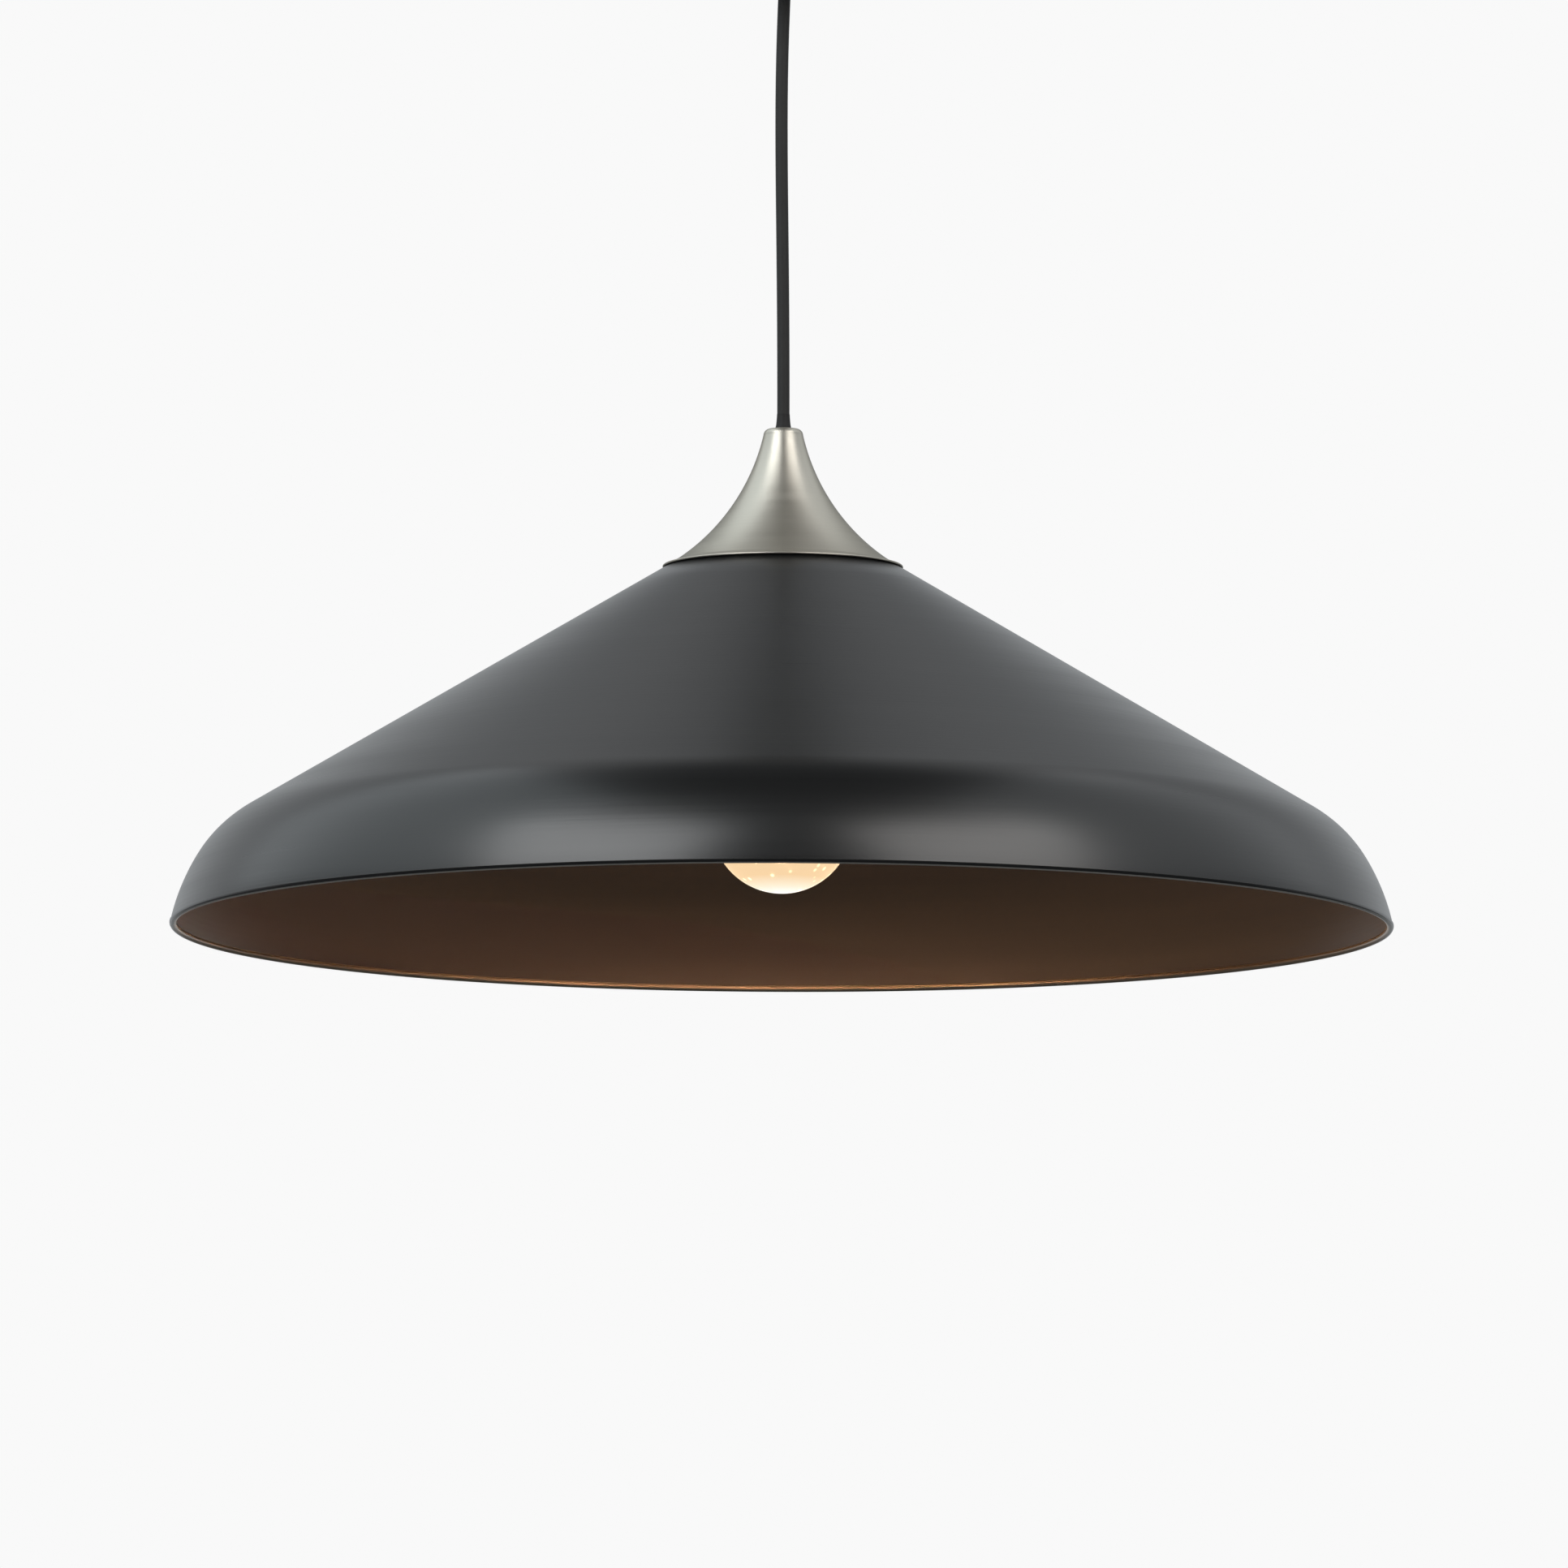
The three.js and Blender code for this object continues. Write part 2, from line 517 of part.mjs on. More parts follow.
// Wire frame that carries the filaments: a centre wire with four arms at each end
const FILAMENT_TOP = [6, -64];
const FILAMENT_LOW = [11, -96];
const frameRod = rod(0.5, FILAMENT_LOW[1] - 2.2, -61 - GAP, 6);
const frameArms = [0, 1, 2, 3].flatMap((i) => [
  box(FILAMENT_LOW[0], 0.8, 0.8, FILAMENT_LOW[0] / 2, 0, FILAMENT_LOW[1] - 1.6).rotateZ((i * Math.PI) / 2),
  box(FILAMENT_TOP[0], 0.8, 0.8, FILAMENT_TOP[0] / 2, 0, FILAMENT_TOP[1] + 1.6).rotateZ((i * Math.PI) / 2),
]);
add(bulb, 'filament_frame', join(frameRod, ...frameArms), 'zinc');
for (let i = 0; i < 4; i += 1) {
  const ends = [FILAMENT_TOP, FILAMENT_LOW].map(([r, z]) => [r, 0, z]);
  const filament = tube(ends, 0.9, 1, 6).rotateZ((i * Math.PI) / 2);
  add(bulb, `filament_${i + 1}`, filament, 'filament');
}

lamp.add(bulb);
const pendantLight = new THREE.Group();
pendantLight.add(ceiling, cord, lamp);

export default pendantLight;
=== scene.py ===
"""Looks of the pendant ceiling light: a wide charcoal shade under a brushed nickel cap, hung by its cord.

Metres, +Z up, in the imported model's frame: the origin is on the ceiling plane, on the lamp's axis.
Profiles are written in millimetres as [radius, height] pairs and turned about the Z axis.
"""
import math

import bmesh
import bpy
from mathutils import Matrix, Vector


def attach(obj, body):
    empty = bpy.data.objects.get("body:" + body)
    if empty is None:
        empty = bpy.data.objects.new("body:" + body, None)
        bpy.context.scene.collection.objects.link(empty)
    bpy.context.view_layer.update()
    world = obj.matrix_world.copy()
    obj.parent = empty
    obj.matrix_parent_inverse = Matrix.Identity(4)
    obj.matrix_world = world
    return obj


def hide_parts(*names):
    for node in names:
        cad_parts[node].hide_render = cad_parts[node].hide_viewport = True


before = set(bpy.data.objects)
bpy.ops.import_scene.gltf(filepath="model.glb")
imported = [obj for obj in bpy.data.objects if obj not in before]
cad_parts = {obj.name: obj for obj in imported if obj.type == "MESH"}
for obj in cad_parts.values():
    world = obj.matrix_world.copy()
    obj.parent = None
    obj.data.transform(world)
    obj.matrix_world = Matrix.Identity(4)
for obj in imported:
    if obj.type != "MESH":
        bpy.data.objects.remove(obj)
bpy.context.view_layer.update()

MM = 0.001
TAU = 2 * math.pi

# Heights of the assembly, in millimetres below the ceiling
CORD_TOP_Z = -34.5
CAP_TOP_Z = -222.0
RIM_Z = CAP_TOP_Z - 210.0
CAP_BASE_Z = CAP_TOP_Z - 58.5
BULB_FOOT_Z = CAP_TOP_Z - 85.0

# Shade
RIM_R = 254.83
SHADE_WALL = 1.2
BEAD_R = 1.5
CONE_ANGLE = math.radians(59.35)
SHOULDER_ANGLE = math.radians(31.55)
RIM_ANGLE = math.radians(11.4)
SKIRT_ARC_R = 88.8
SHOULDER_ARC_R = 55.0
SHADE_HOLE_R = 20.4
SHADE_PLATE_Z = CAP_TOP_Z - 56.6

# Cap
CAP_BASE_R = 50.2
CAP_ARC_R = 87.5
CAP_ARC_CENTRE = (93.6, CAP_BASE_Z + 75.4)
CAP_WALL = 1.2
CAP_HOLE_R = 5.35
CAP_CORNER_R = 2.7
CAP_NECK_R = 8.3

# Cord and boot
CORD_R = 2.6
BOOT_LENGTH = 5.0
BOOT_R = 3.25

# Bulb
BULB_R = 29.5
BULB_CENTRE_Z = BULB_FOOT_Z - 80.4
BULB_NECK_R = 11.7

# Ceiling canopy
CANOPY_R = 50.0
CANOPY_DEPTH = 25.0
CANOPY_WALL = 1.4
CANOPY_CORNER_R = 6.0
STRAP_HALF = 46.0
STRAP_WIDTH = 16.0
STRAP_THICK = 1.6
EAR_DEPTH = 14.0
SIDE_SCREW_Z = -9.0
THREAD_R = 5.0
THREAD_HOLE_R = 5.4
EARTH_SCREW_X = 38.5
GLAND_SHOULDER_Z = -29.8
GRUB_Z = -27.4
POLE_X = (-8.5, 0.0, 8.5)
POLE_Z = -8.0
POLE_SCREW_Y = -3.2
GAP = 0.3

# Lampholder
SHELF_Z = CAP_TOP_Z - 63.5
INSERT_TOP_Z = CAP_TOP_Z - 51.0
SKIRT_R = 19.8
SKIRT_MOUTH_Z = CAP_TOP_Z - 109.0
COLLAR_TOP_Z = CAP_TOP_Z - 53.3
DOME_TOP_Z = CAP_TOP_Z - 30.0
CORD_END_Z = CAP_TOP_Z - 42.0
TERMINAL_X = 9.0
WIRE_HOLE_Y = 5.0


# --- Camera ------------------------------------------------------------------------------------------------

CAMERA_BACK = 9.0            # along -Y from the lamp's axis
CAMERA_BELOW_RIM = 0.9574    # the camera looks up into the shade
AIM_ABOVE_RIM = 0.0609
AIM_RIGHT = 0.0008
LENS_MM = 499.1
SENSOR_MM = 36.0
ROLL = math.radians(0.2)


def make_camera():
    camera = bpy.data.objects.new("camera", bpy.data.cameras.new("camera"))
    bpy.context.scene.collection.objects.link(camera)
    camera.data.lens = LENS_MM
    camera.data.sensor_width = SENSOR_MM
    rim = RIM_Z * MM
    camera.location = (0, -CAMERA_BACK, rim - CAMERA_BELOW_RIM)
    aim = Vector((AIM_RIGHT, 0, rim + AIM_ABOVE_RIM)) - camera.location
    turn = aim.to_track_quat("-Z", "Y").to_matrix() @ Matrix.Rotation(ROLL, 3, "Z")
    camera.rotation_euler = turn.to_euler()
    bpy.context.scene.camera = camera


make_camera()


# --- Mesh helpers ------------------------------------------------------------------------------------------

SHARP_EDGE = math.radians(38)


def new_object(name, mesh):
    obj = bpy.data.objects.new(name, mesh)
    bpy.context.scene.collection.objects.link(obj)
    return obj


def shade_smooth(bm):
    """Smooth shading, with hard corners kept sharp."""
    for face in bm.faces:
        face.smooth = True
    for edge in bm.edges:
        edge.smooth = edge.is_manifold and edge.calc_face_angle(0) < SHARP_EDGE


def from_bmesh(name, bm):
    bmesh.ops.recalc_face_normals(bm, faces=bm.faces)
    shade_smooth(bm)
    mesh = bpy.data.meshes.new(name)
    bm.to_mesh(mesh)
    bm.free()
    return new_object(name, mesh)


def turned_bmesh(profile, sides, shape=None):
    """Turns a profile of [radius, height] pairs in mm about Z. Off the axis, it closes on itself.

    shape(radius, height, angle) gives the radius where the piece isn't round, such as along a thread.
    """
    bm = bmesh.new()
    shape = shape or (lambda r, z, a: r)
    rings = []
    for r, z in profile:
        if r < 1e-6:
            rings.append([bm.verts.new((0, 0, z * MM))] * sides)
            continue
        angles = [TAU * i / sides for i in range(sides)]
        reach = [shape(r, z, a) * MM for a in angles]
        points = [(d * math.cos(a), d * math.sin(a), z * MM) for d, a in zip(reach, angles)]
        rings.append([bm.verts.new(point) for point in points])
    closes = profile[0][0] > 1e-6 or profile[-1][0] > 1e-6
    pairs = list(zip(rings, rings[1:])) + ([(rings[-1], rings[0])] if closes else [])
    for low, high in pairs:
        for i in range(sides):
            j = (i + 1) % sides
            corners = [low[i], low[j], high[j], high[i]]
            corners = [v for k, v in enumerate(corners) if v is not corners[k - 1]]
            if len(corners) > 2:
                bm.faces.new(corners)
    return bm


def turned(name, profile, sides=96, shape=None):
    return from_bmesh(name, turned_bmesh(profile, sides, shape))


def rod(name, radius, low, high, sides=32):
    """Plain tool for cutting a round hole."""
    return turned(name, [(0, low), (radius, low), (radius, high), (0, high)], sides)


def hexagonal(flat):
    """Shape of a hexagon, by the distance in mm from its centre to a flat."""
    return lambda r, z, a: min(r, flat / math.cos(a % (math.pi / 3) - math.pi / 6))


def fluted(count, depth, radius, low, high):
    """Shape with grip grooves along a rim of the given radius, between two heights."""
    def shape(r, z, a):
        return r - depth * (0.5 + 0.5 * math.cos(count * a)) if r > radius and low < z < high else r
    return shape


THREAD_STEPS = 8


def thread_line(radius, low, high, pitch):
    """Profile points along a thread, close enough together to show it."""
    count = max(2, round((high - low) / pitch * THREAD_STEPS))
    return [(radius, low + (high - low) * i / count) for i in range(count + 1)]


def helical(radius, depth, pitch, low, high):
    """Shape of a rounded thread that runs out at both ends."""
    def shape(r, z, a):
        if abs(r - radius) > 1e-6 or not low <= z <= high:
            return r
        fade = min(1, (z - low) / pitch, (high - z) / pitch)
        return r - depth * fade * (0.5 + 0.5 * math.cos(TAU * z / pitch - a))
    return shape


def prism(name, outline, thick, bevel=0.0):
    """Flat outline in mm, of the given thickness about the XY plane."""
    bm = bmesh.new()
    low, high = (
        [bm.verts.new((x * MM, y * MM, z * MM)) for x, y in outline] for z in (-thick / 2, thick / 2)
    )
    bm.faces.new(low)
    bm.faces.new(high)
    for i, vertex in enumerate(low):
        bm.faces.new((low[i - 1], vertex, high[i], high[i - 1]))
    bmesh.ops.recalc_face_normals(bm, faces=bm.faces)
    if bevel:
        hard = [edge for edge in bm.edges if edge.calc_face_angle(0) > SHARP_EDGE]
        bmesh.ops.bevel(bm, geom=hard, offset=bevel * MM, segments=2, profile=0.5, affect="EDGES")
    return from_bmesh(name, bm)


def joined(name, *parts):
    """One mesh from several."""
    bm = bmesh.new()
    for part in parts:
        bm.from_mesh(part.data)
        bpy.data.objects.remove(part)
    return from_bmesh(name, bm)


def arc(centre_r, centre_z, radius, start, end, steps):
    angles = (start + (end - start) * i / steps for i in range(steps + 1))
    return [(centre_r + radius * math.cos(a), centre_z + radius * math.sin(a)) for a in angles]


def rounded(profile, radius, steps=4):
    """Rounds every corner of a closed profile by about the given radius in mm."""
    out = []
    count = len(profile)
    for i, (r, z) in enumerate(profile):
        here, before, after = Vector((r, z)), Vector(profile[i - 1]), Vector(profile[(i + 1) % count])
        back, on = before - here, after - here
        reach = min(radius, 0.45 * back.length, 0.45 * on.length)
        start, end = here + back.normalized() * reach, here + on.normalized() * reach
        for k in range(steps + 1):
            t = k / steps
            point = start * (1 - t) ** 2 + here * 2 * t * (1 - t) + end * t ** 2
            out.append((point.x, point.y))
    return out


def swept(name, points, radius, sides=20, samples=6):
    """Round tube in mm through the points, along a smooth line."""
    curve = bpy.data.curves.new(name, "CURVE")
    curve.dimensions = "3D"
    curve.bevel_depth = radius * MM
    curve.bevel_resolution = sides // 4
    curve.use_fill_caps = True
    spline = curve.splines.new("BEZIER")
    spline.bezier_points.add(len(points) - 1)
    for bezier, point in zip(spline.bezier_points, points):
        bezier.co = Vector(point) * MM
        bezier.handle_left_type = bezier.handle_right_type = "AUTO"
    spline.resolution_u = samples
    holder = new_object(name + "_curve", curve)
    mesh = bpy.data.meshes.new_from_object(holder.evaluated_get(bpy.context.evaluated_depsgraph_get()))
    bpy.data.objects.remove(holder)
    for polygon in mesh.polygons:
        polygon.use_smooth = True
    mesh.name = name
    return new_object(name, mesh)


def moved(obj, matrix):
    obj.data.transform(matrix)
    return obj


def placed(obj, x=0.0, y=0.0, z=0.0, turn=0.0, axis="X"):
    """Turns a mesh about one of its axes, in degrees, then moves it, in mm."""
    place = Matrix.Translation(Vector((x, y, z)) * MM)
    return moved(obj, place @ Matrix.Rotation(math.radians(turn), 4, axis))


def cut_with(obj, *tools):
    """Exact boolean difference, applied; the tools are used up."""
    for tool in tools:
        modifier = obj.modifiers.new("cut", "BOOLEAN")
        modifier.object = tool
        modifier.solver = "EXACT"
    evaluated = obj.evaluated_get(bpy.context.evaluated_depsgraph_get())
    mesh = bpy.data.meshes.new_from_object(evaluated)
    obj.modifiers.clear()
    obj.data = mesh
    for tool in tools:
        bpy.data.objects.remove(tool)
    bm = bmesh.new()
    bm.from_mesh(mesh)
    bmesh.ops.remove_doubles(bm, verts=bm.verts, dist=1e-7)
    shade_smooth(bm)
    bm.to_mesh(mesh)
    bm.free()
    return obj


def block(name, size, centre, bevel=0.0):
    """Box in mm with softened edges."""
    bm = bmesh.new()
    bmesh.ops.create_cube(bm, size=1)
    bmesh.ops.scale(bm, vec=Vector(size) * MM, verts=bm.verts)
    bmesh.ops.translate(bm, vec=Vector(centre) * MM, verts=bm.verts)
    if bevel:
        bmesh.ops.bevel(bm, geom=bm.edges, offset=bevel * MM, segments=3, profile=0.5, affect="EDGES")
    return from_bmesh(name, bm)


def piece(obj, body, nodes, slot, *materials):
    """Hides the CAD parts that a piece replaces, and sets what it moves with and what it is made of."""
    for made in materials:
        obj.data.materials.append(made)
    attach(obj, body)
    if nodes:
        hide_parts(*nodes)
    return obj


# --- Materials ---------------------------------------------------------------------------------------------

class Nodes:
    """A material's node tree, with short calls to add and join nodes."""

    def __init__(self, name):
        self.material = bpy.data.materials.new(name)
        self.material.use_nodes = True
        self.tree = self.material.node_tree
        self.tree.nodes.clear()
        self.output = self.add("ShaderNodeOutputMaterial")
        self.shader = self.add("ShaderNodeBsdfPrincipled")
        self.link(self.shader.outputs["BSDF"], self.output.inputs["Surface"])
        self.object_point = self.add("ShaderNodeTexCoord").outputs["Object"]

    def add(self, kind, **settings):
        node = self.tree.nodes.new(kind)
        for key, value in settings.items():
            setattr(node, key, value)
        return node

    def link(self, source, target):
        self.tree.links.new(source, target)

    def set(self, **sockets):
        """Sets the shader's own sockets, with underscores for spaces."""
        for key, value in sockets.items():
            self.shader.inputs[key.replace("_", " ")].default_value = value

    def math(self, operation, a, b):
        node = self.add("ShaderNodeMath", operation=operation)
        for i, value in enumerate((a, b)):
            if isinstance(value, (int, float)):
                node.inputs[i].default_value = value
            else:
                self.link(value, node.inputs[i])
        return node.outputs[0]

    def around(self, radial, along, turning):
        """The point as (radius, angle, height), scaled, for grain that runs round a turned piece."""
        parts = self.add("ShaderNodeSeparateXYZ")
        self.link(self.object_point, parts.inputs[0])
        x, y, z = parts.outputs
        squares = self.math("ADD", self.math("MULTIPLY", x, x), self.math("MULTIPLY", y, y))
        radius = self.math("SQRT", squares, 0)
        angle = self.math("ARCTAN2", y, x)
        point = self.add("ShaderNodeCombineXYZ")
        for i, value in enumerate(
            (self.math("MULTIPLY", radius, radial), self.math("MULTIPLY", angle, turning),
             self.math("MULTIPLY", z, along))
        ):
            self.link(value, point.inputs[i])
        return point.outputs[0]

    def scaled(self, x, y, z):
        mapping = self.add("ShaderNodeMapping")
        mapping.inputs["Scale"].default_value = (x, y, z)
        self.link(self.object_point, mapping.inputs["Vector"])
        return mapping.outputs[0]

    def noise(self, vector, scale=1.0, detail=3.0, roughness=0.55):
        node = self.add("ShaderNodeTexNoise")
        node.inputs["Scale"].default_value = scale
        node.inputs["Detail"].default_value = detail
        node.inputs["Roughness"].default_value = roughness
        self.link(vector, node.inputs["Vector"])
        return node.outputs["Fac"]

    def ramp(self, fac, *stops):
        """Colour ramp through (position, colour) stops."""
        node = self.add("ShaderNodeValToRGB")
        elements = node.color_ramp.elements
        while len(elements) < len(stops):
            elements.new(0.5)
        for element, (position, colour) in zip(elements, stops):
            element.position = position
            element.color = (*colour, 1)
        self.link(fac, node.inputs["Fac"])
        return node.outputs["Color"]

    def between(self, fac, low, high, into, start=0.3, end=0.7):
        """Spreads fac from start..end over low..high, into one of the shader's sockets."""
        node = self.add("ShaderNodeMapRange")
        for key, value in (("From Min", start), ("From Max", end), ("To Min", low), ("To Max", high)):
            node.inputs[key].default_value = value
        self.link(fac, node.inputs["Value"])
        self.link(node.outputs["Result"], self.shader.inputs[into])

    def bump(self, height, distance, strength=1.0, normal=None):
        node = self.add("ShaderNodeBump")
        node.inputs["Strength"].default_value = strength
        node.inputs["Distance"].default_value = distance
        self.link(height, node.inputs["Height"])
        if normal is not None:
            self.link(normal, node.inputs["Normal"])
        self.link(node.outputs["Normal"], self.shader.inputs["Normal"])
        return node.outputs["Normal"]


def spun_paint(name, dark, light, rough_low, rough_high, specular, metallic=0.0):
    """Satin paint over a spun shell: faint rings left by the spinning tool, and fine orange peel."""
    nodes = Nodes(name)
    rings = nodes.noise(nodes.around(900, 900, 0.9), detail=4)
    broad = nodes.noise(nodes.around(60, 60, 0.5), detail=2)
    mixed = nodes.math("ADD", nodes.math("MULTIPLY", rings, 0.45), nodes.math("MULTIPLY", broad, 0.55))
    nodes.link(nodes.ramp(mixed, (0.3, dark), (0.7, light)), nodes.shader.inputs["Base Color"])
    nodes.between(mixed, rough_low, rough_high, "Roughness")
    nodes.set(Specular_IOR_Level=specular, Metallic=metallic)
    peel = nodes.noise(nodes.scaled(1, 1, 1), scale=700, detail=2)
    normal = nodes.bump(peel, 0.00003, strength=0.35)
    nodes.bump(rings, 0.00004, strength=0.5, normal=normal)
    return nodes.material


def brushed(name, dark, light, roughness, anisotropy, edge):
    """Bright metal brushed round its axis: fine rings, and a highlight stretched across them."""
    nodes = Nodes(name)
    rings = nodes.noise(nodes.around(2600, 2600, 0.6), detail=5, roughness=0.7)
    broad = nodes.noise(nodes.around(250, 250, 0.3), detail=2)
    mixed = nodes.math("ADD", nodes.math("MULTIPLY", rings, 0.7), nodes.math("MULTIPLY", broad, 0.3))
    nodes.link(nodes.ramp(mixed, (0.32, dark), (0.68, light)), nodes.shader.inputs["Base Color"])
    nodes.between(mixed, roughness * 0.85, roughness * 1.15, "Roughness")
    nodes.set(Metallic=1.0, Anisotropic=anisotropy, Anisotropic_Rotation=0.25)
    nodes.set(Specular_Tint=(edge, edge, edge, 1))
    tangent = nodes.add("ShaderNodeTangent", direction_type="RADIAL", axis="Z")
    nodes.link(tangent.outputs[0], nodes.shader.inputs["Tangent"])
    nodes.bump(rings, 0.00002, strength=0.4)
    return nodes.material


def plain_metal(name, dark, light, roughness):
    """Plated or drawn metal with a cloudy surface and fine scratches."""
    nodes = Nodes(name)
    cloud = nodes.noise(nodes.scaled(1, 1, 1), scale=260, detail=4)
    scratch = nodes.noise(nodes.scaled(300, 300, 4000), detail=3)
    mixed = nodes.math("ADD", nodes.math("MULTIPLY", cloud, 0.6), nodes.math("MULTIPLY", scratch, 0.4))
    nodes.link(nodes.ramp(mixed, (0.3, dark), (0.7, light)), nodes.shader.inputs["Base Color"])
    nodes.between(mixed, roughness * 0.8, roughness * 1.25, "Roughness")
    nodes.set(Metallic=1.0)
    nodes.bump(scratch, 0.00002, strength=0.4)
    return nodes.material


def moulded(name, dark, light, roughness, grain=900.0, depth=0.00005, **sockets):
    """Moulded plastic, rubber or glazed ceramic with a fine surface texture."""
    nodes = Nodes(name)
    fine = nodes.noise(nodes.scaled(1, 1, 1), scale=grain, detail=3)
    cloud = nodes.noise(nodes.scaled(1, 1, 1), scale=90, detail=2)
    mixed = nodes.math("ADD", nodes.math("MULTIPLY", fine, 0.4), nodes.math("MULTIPLY", cloud, 0.6))
    nodes.link(nodes.ramp(mixed, (0.3, dark), (0.7, light)), nodes.shader.inputs["Base Color"])
    nodes.between(mixed, roughness * 0.9, roughness * 1.1, "Roughness")
    nodes.bump(fine, depth, strength=0.6)
    nodes.set(**sockets)
    return nodes.material


PAINT = spun_paint("charcoal_paint", (0.0048, 0.0050, 0.0052), (0.0062, 0.0064, 0.0067), 0.27, 0.32, 0.9)
INNER_PAINT = spun_paint("inner_paint", (0.0078, 0.0080, 0.0072), (0.0104, 0.0106, 0.0096), 0.36, 0.43, 0.62)
# Pale bead material: a painted highlight. The rolled rim is charcoal paint like the shell, lightened so its
# underside shows as a bright line.
PAINTED_RIM_HIGHLIGHT = spun_paint("painted_rim_highlight", (0.55, 0.53, 0.49), (0.68, 0.66, 0.61), 0.24, 0.32, 0.6)
# Bronze metal in place of the bead's charcoal paint: painted reflection colour, so the bulb's rendered glint
# on the inner bead turns into a bright golden line.
PAINTED_BEAD_GLINT = spun_paint("painted_bead_glint", (0.30, 0.26, 0.20), (0.38, 0.33, 0.26), 0.24, 0.32, 1.0, 1.0)
NICKEL = brushed("brushed_nickel", (0.75, 0.715, 0.625), (0.81, 0.775, 0.685), 0.43, 0.5, 0.3)
ZINC = plain_metal("zinc_plate", (0.42, 0.43, 0.44), (0.62, 0.63, 0.64), 0.34)
BRASS = plain_metal("brass", (0.50, 0.36, 0.15), (0.68, 0.50, 0.24), 0.30)
TINNED = plain_metal("tinned_brass", (0.60, 0.58, 0.53), (0.74, 0.72, 0.66), 0.24)
BLACK = moulded("black_plastic", (0.014, 0.014, 0.014), (0.026, 0.026, 0.026), 0.42)
WHITE = moulded("white_plastic", (0.66, 0.65, 0.60), (0.76, 0.75, 0.70), 0.45, depth=0.00003)
CERAMIC = moulded("white_ceramic", (0.70, 0.68, 0.62), (0.80, 0.78, 0.73), 0.22, grain=300, Coat_Weight=0.5)
RUBBER = moulded("black_rubber", (0.016, 0.016, 0.016), (0.026, 0.026, 0.026), 0.62, grain=1500)
SHEATH = moulded("cord_sheath", (0.030, 0.030, 0.030), (0.040, 0.040, 0.039), 0.58, grain=2600, depth=0.00004)
BROWN_WIRE = moulded("brown_wire", (0.14, 0.05, 0.02), (0.18, 0.07, 0.03), 0.35)
BLUE_WIRE = moulded("blue_wire", (0.02, 0.07, 0.26), (0.03, 0.10, 0.34), 0.35)


def striped_wire():
    """Green insulation with two yellow stripes along it."""
    nodes = Nodes("green_yellow_wire")
    wave = nodes.add("ShaderNodeTexWave", wave_type="BANDS", bands_direction="DIAGONAL")
    wave.inputs["Scale"].default_value = 180
    wave.inputs["Distortion"].default_value = 0.4
    nodes.link(nodes.object_point, wave.inputs["Vector"])
    green, yellow = (0.03, 0.22, 0.05), (0.65, 0.52, 0.03)
    colour = nodes.ramp(wave.outputs["Fac"], (0.52, green), (0.60, yellow))
    nodes.link(colour, nodes.shader.inputs["Base Color"])
    nodes.between(nodes.noise(nodes.object_point, scale=600), 0.3, 0.42, "Roughness")
    return nodes.material


def clear_glass():
    nodes = Nodes("clear_glass")
    waves = nodes.noise(nodes.scaled(1, 1, 1), scale=120, detail=2)
    tone = nodes.ramp(waves, (0.3, (0.93, 0.95, 0.94)), (0.7, (0.98, 0.98, 0.97)))
    nodes.link(tone, nodes.shader.inputs["Base Color"])
    nodes.between(waves, 0.03, 0.07, "Roughness")
    nodes.bump(waves, 0.0001, strength=0.3)
    nodes.set(IOR=1.5, Transmission_Weight=1.0)
    return nodes.material


def glowing_filament():
    """Lit rod: a row of bright grains along a warm coat."""
    nodes = Nodes("lit_filament")
    grains = nodes.add("ShaderNodeTexVoronoi", feature="F1")
    nodes.link(nodes.scaled(900, 900, 700), grains.inputs["Vector"])
    grains.inputs["Scale"].default_value = 1.0
    glow = nodes.ramp(grains.outputs["Distance"], (0.2, (1.0, 0.86, 0.55)), (0.7, (0.95, 0.55, 0.18)))
    nodes.link(glow, nodes.shader.inputs["Emission Color"])
    nodes.set(Base_Color=(0.9, 0.55, 0.12, 1), Roughness=0.5, Emission_Strength=3.0)
    return nodes.material


GREEN_WIRE = striped_wire()
GLASS = clear_glass()
LIT_FILAMENT = glowing_filament()
BLACK_GLASS = moulded(
    "black_glass", (0.008, 0.008, 0.009), (0.014, 0.014, 0.016), 0.12, grain=300, depth=0.00002
)


# --- Cord and its boot -------------------------------------------------------------------------------------

CORD_POINTS = 20
CORD_LEAN = 1.2    # how far the cord bows to the side, in mm


def make_cord():
    curve = bpy.data.curves.new("cord", "CURVE")
    curve.dimensions = "3D"
    curve.bevel_depth = CORD_R * MM
    curve.bevel_resolution = 10
    curve.use_fill_caps = True
    spline = curve.splines.new("POLY")
    spline.points.add(CORD_POINTS - 1)
    for i, point in enumerate(spline.points):
        along = i / (CORD_POINTS - 1)
        lean = -CORD_LEAN * math.sin(math.pi * along ** 2)
        point.co = (lean * MM, 0, (CAP_TOP_Z + (CORD_TOP_Z - CAP_TOP_Z) * along) * MM, 1)
    spline.use_smooth = True
    return new_object("cord", curve)


def make_boot():
    """Moulded relief round the cord's lowest end: it flares where it meets the cap."""
    top = BOOT_LENGTH + 1.2
    flare = [(CORD_R - 0.2, top), (CORD_R + 0.08, top), (CORD_R + 0.14, BOOT_LENGTH)]
    flare += [(CORD_R + 0.28, 3.2), (CORD_R + 0.42, 1.8), (BOOT_R, 0.7), (BOOT_R + 0.05, 0.1)]
    flare += [(BOOT_R - 0.2, -0.1), (CORD_R - 0.2, -0.1)]
    return turned("cord_boot_sleeve", [(r, CAP_TOP_Z + z) for r, z in flare], 64)


cord = piece(make_cord(), "cord", ["pendant_cord"], "cord_sheath", SHEATH)
boot = piece(make_boot(), "cord", ["cord_boot"], "black_rubber", RUBBER)


# --- Shade -------------------------------------------------------------------------------------------------

SHADE_SIDES = 288


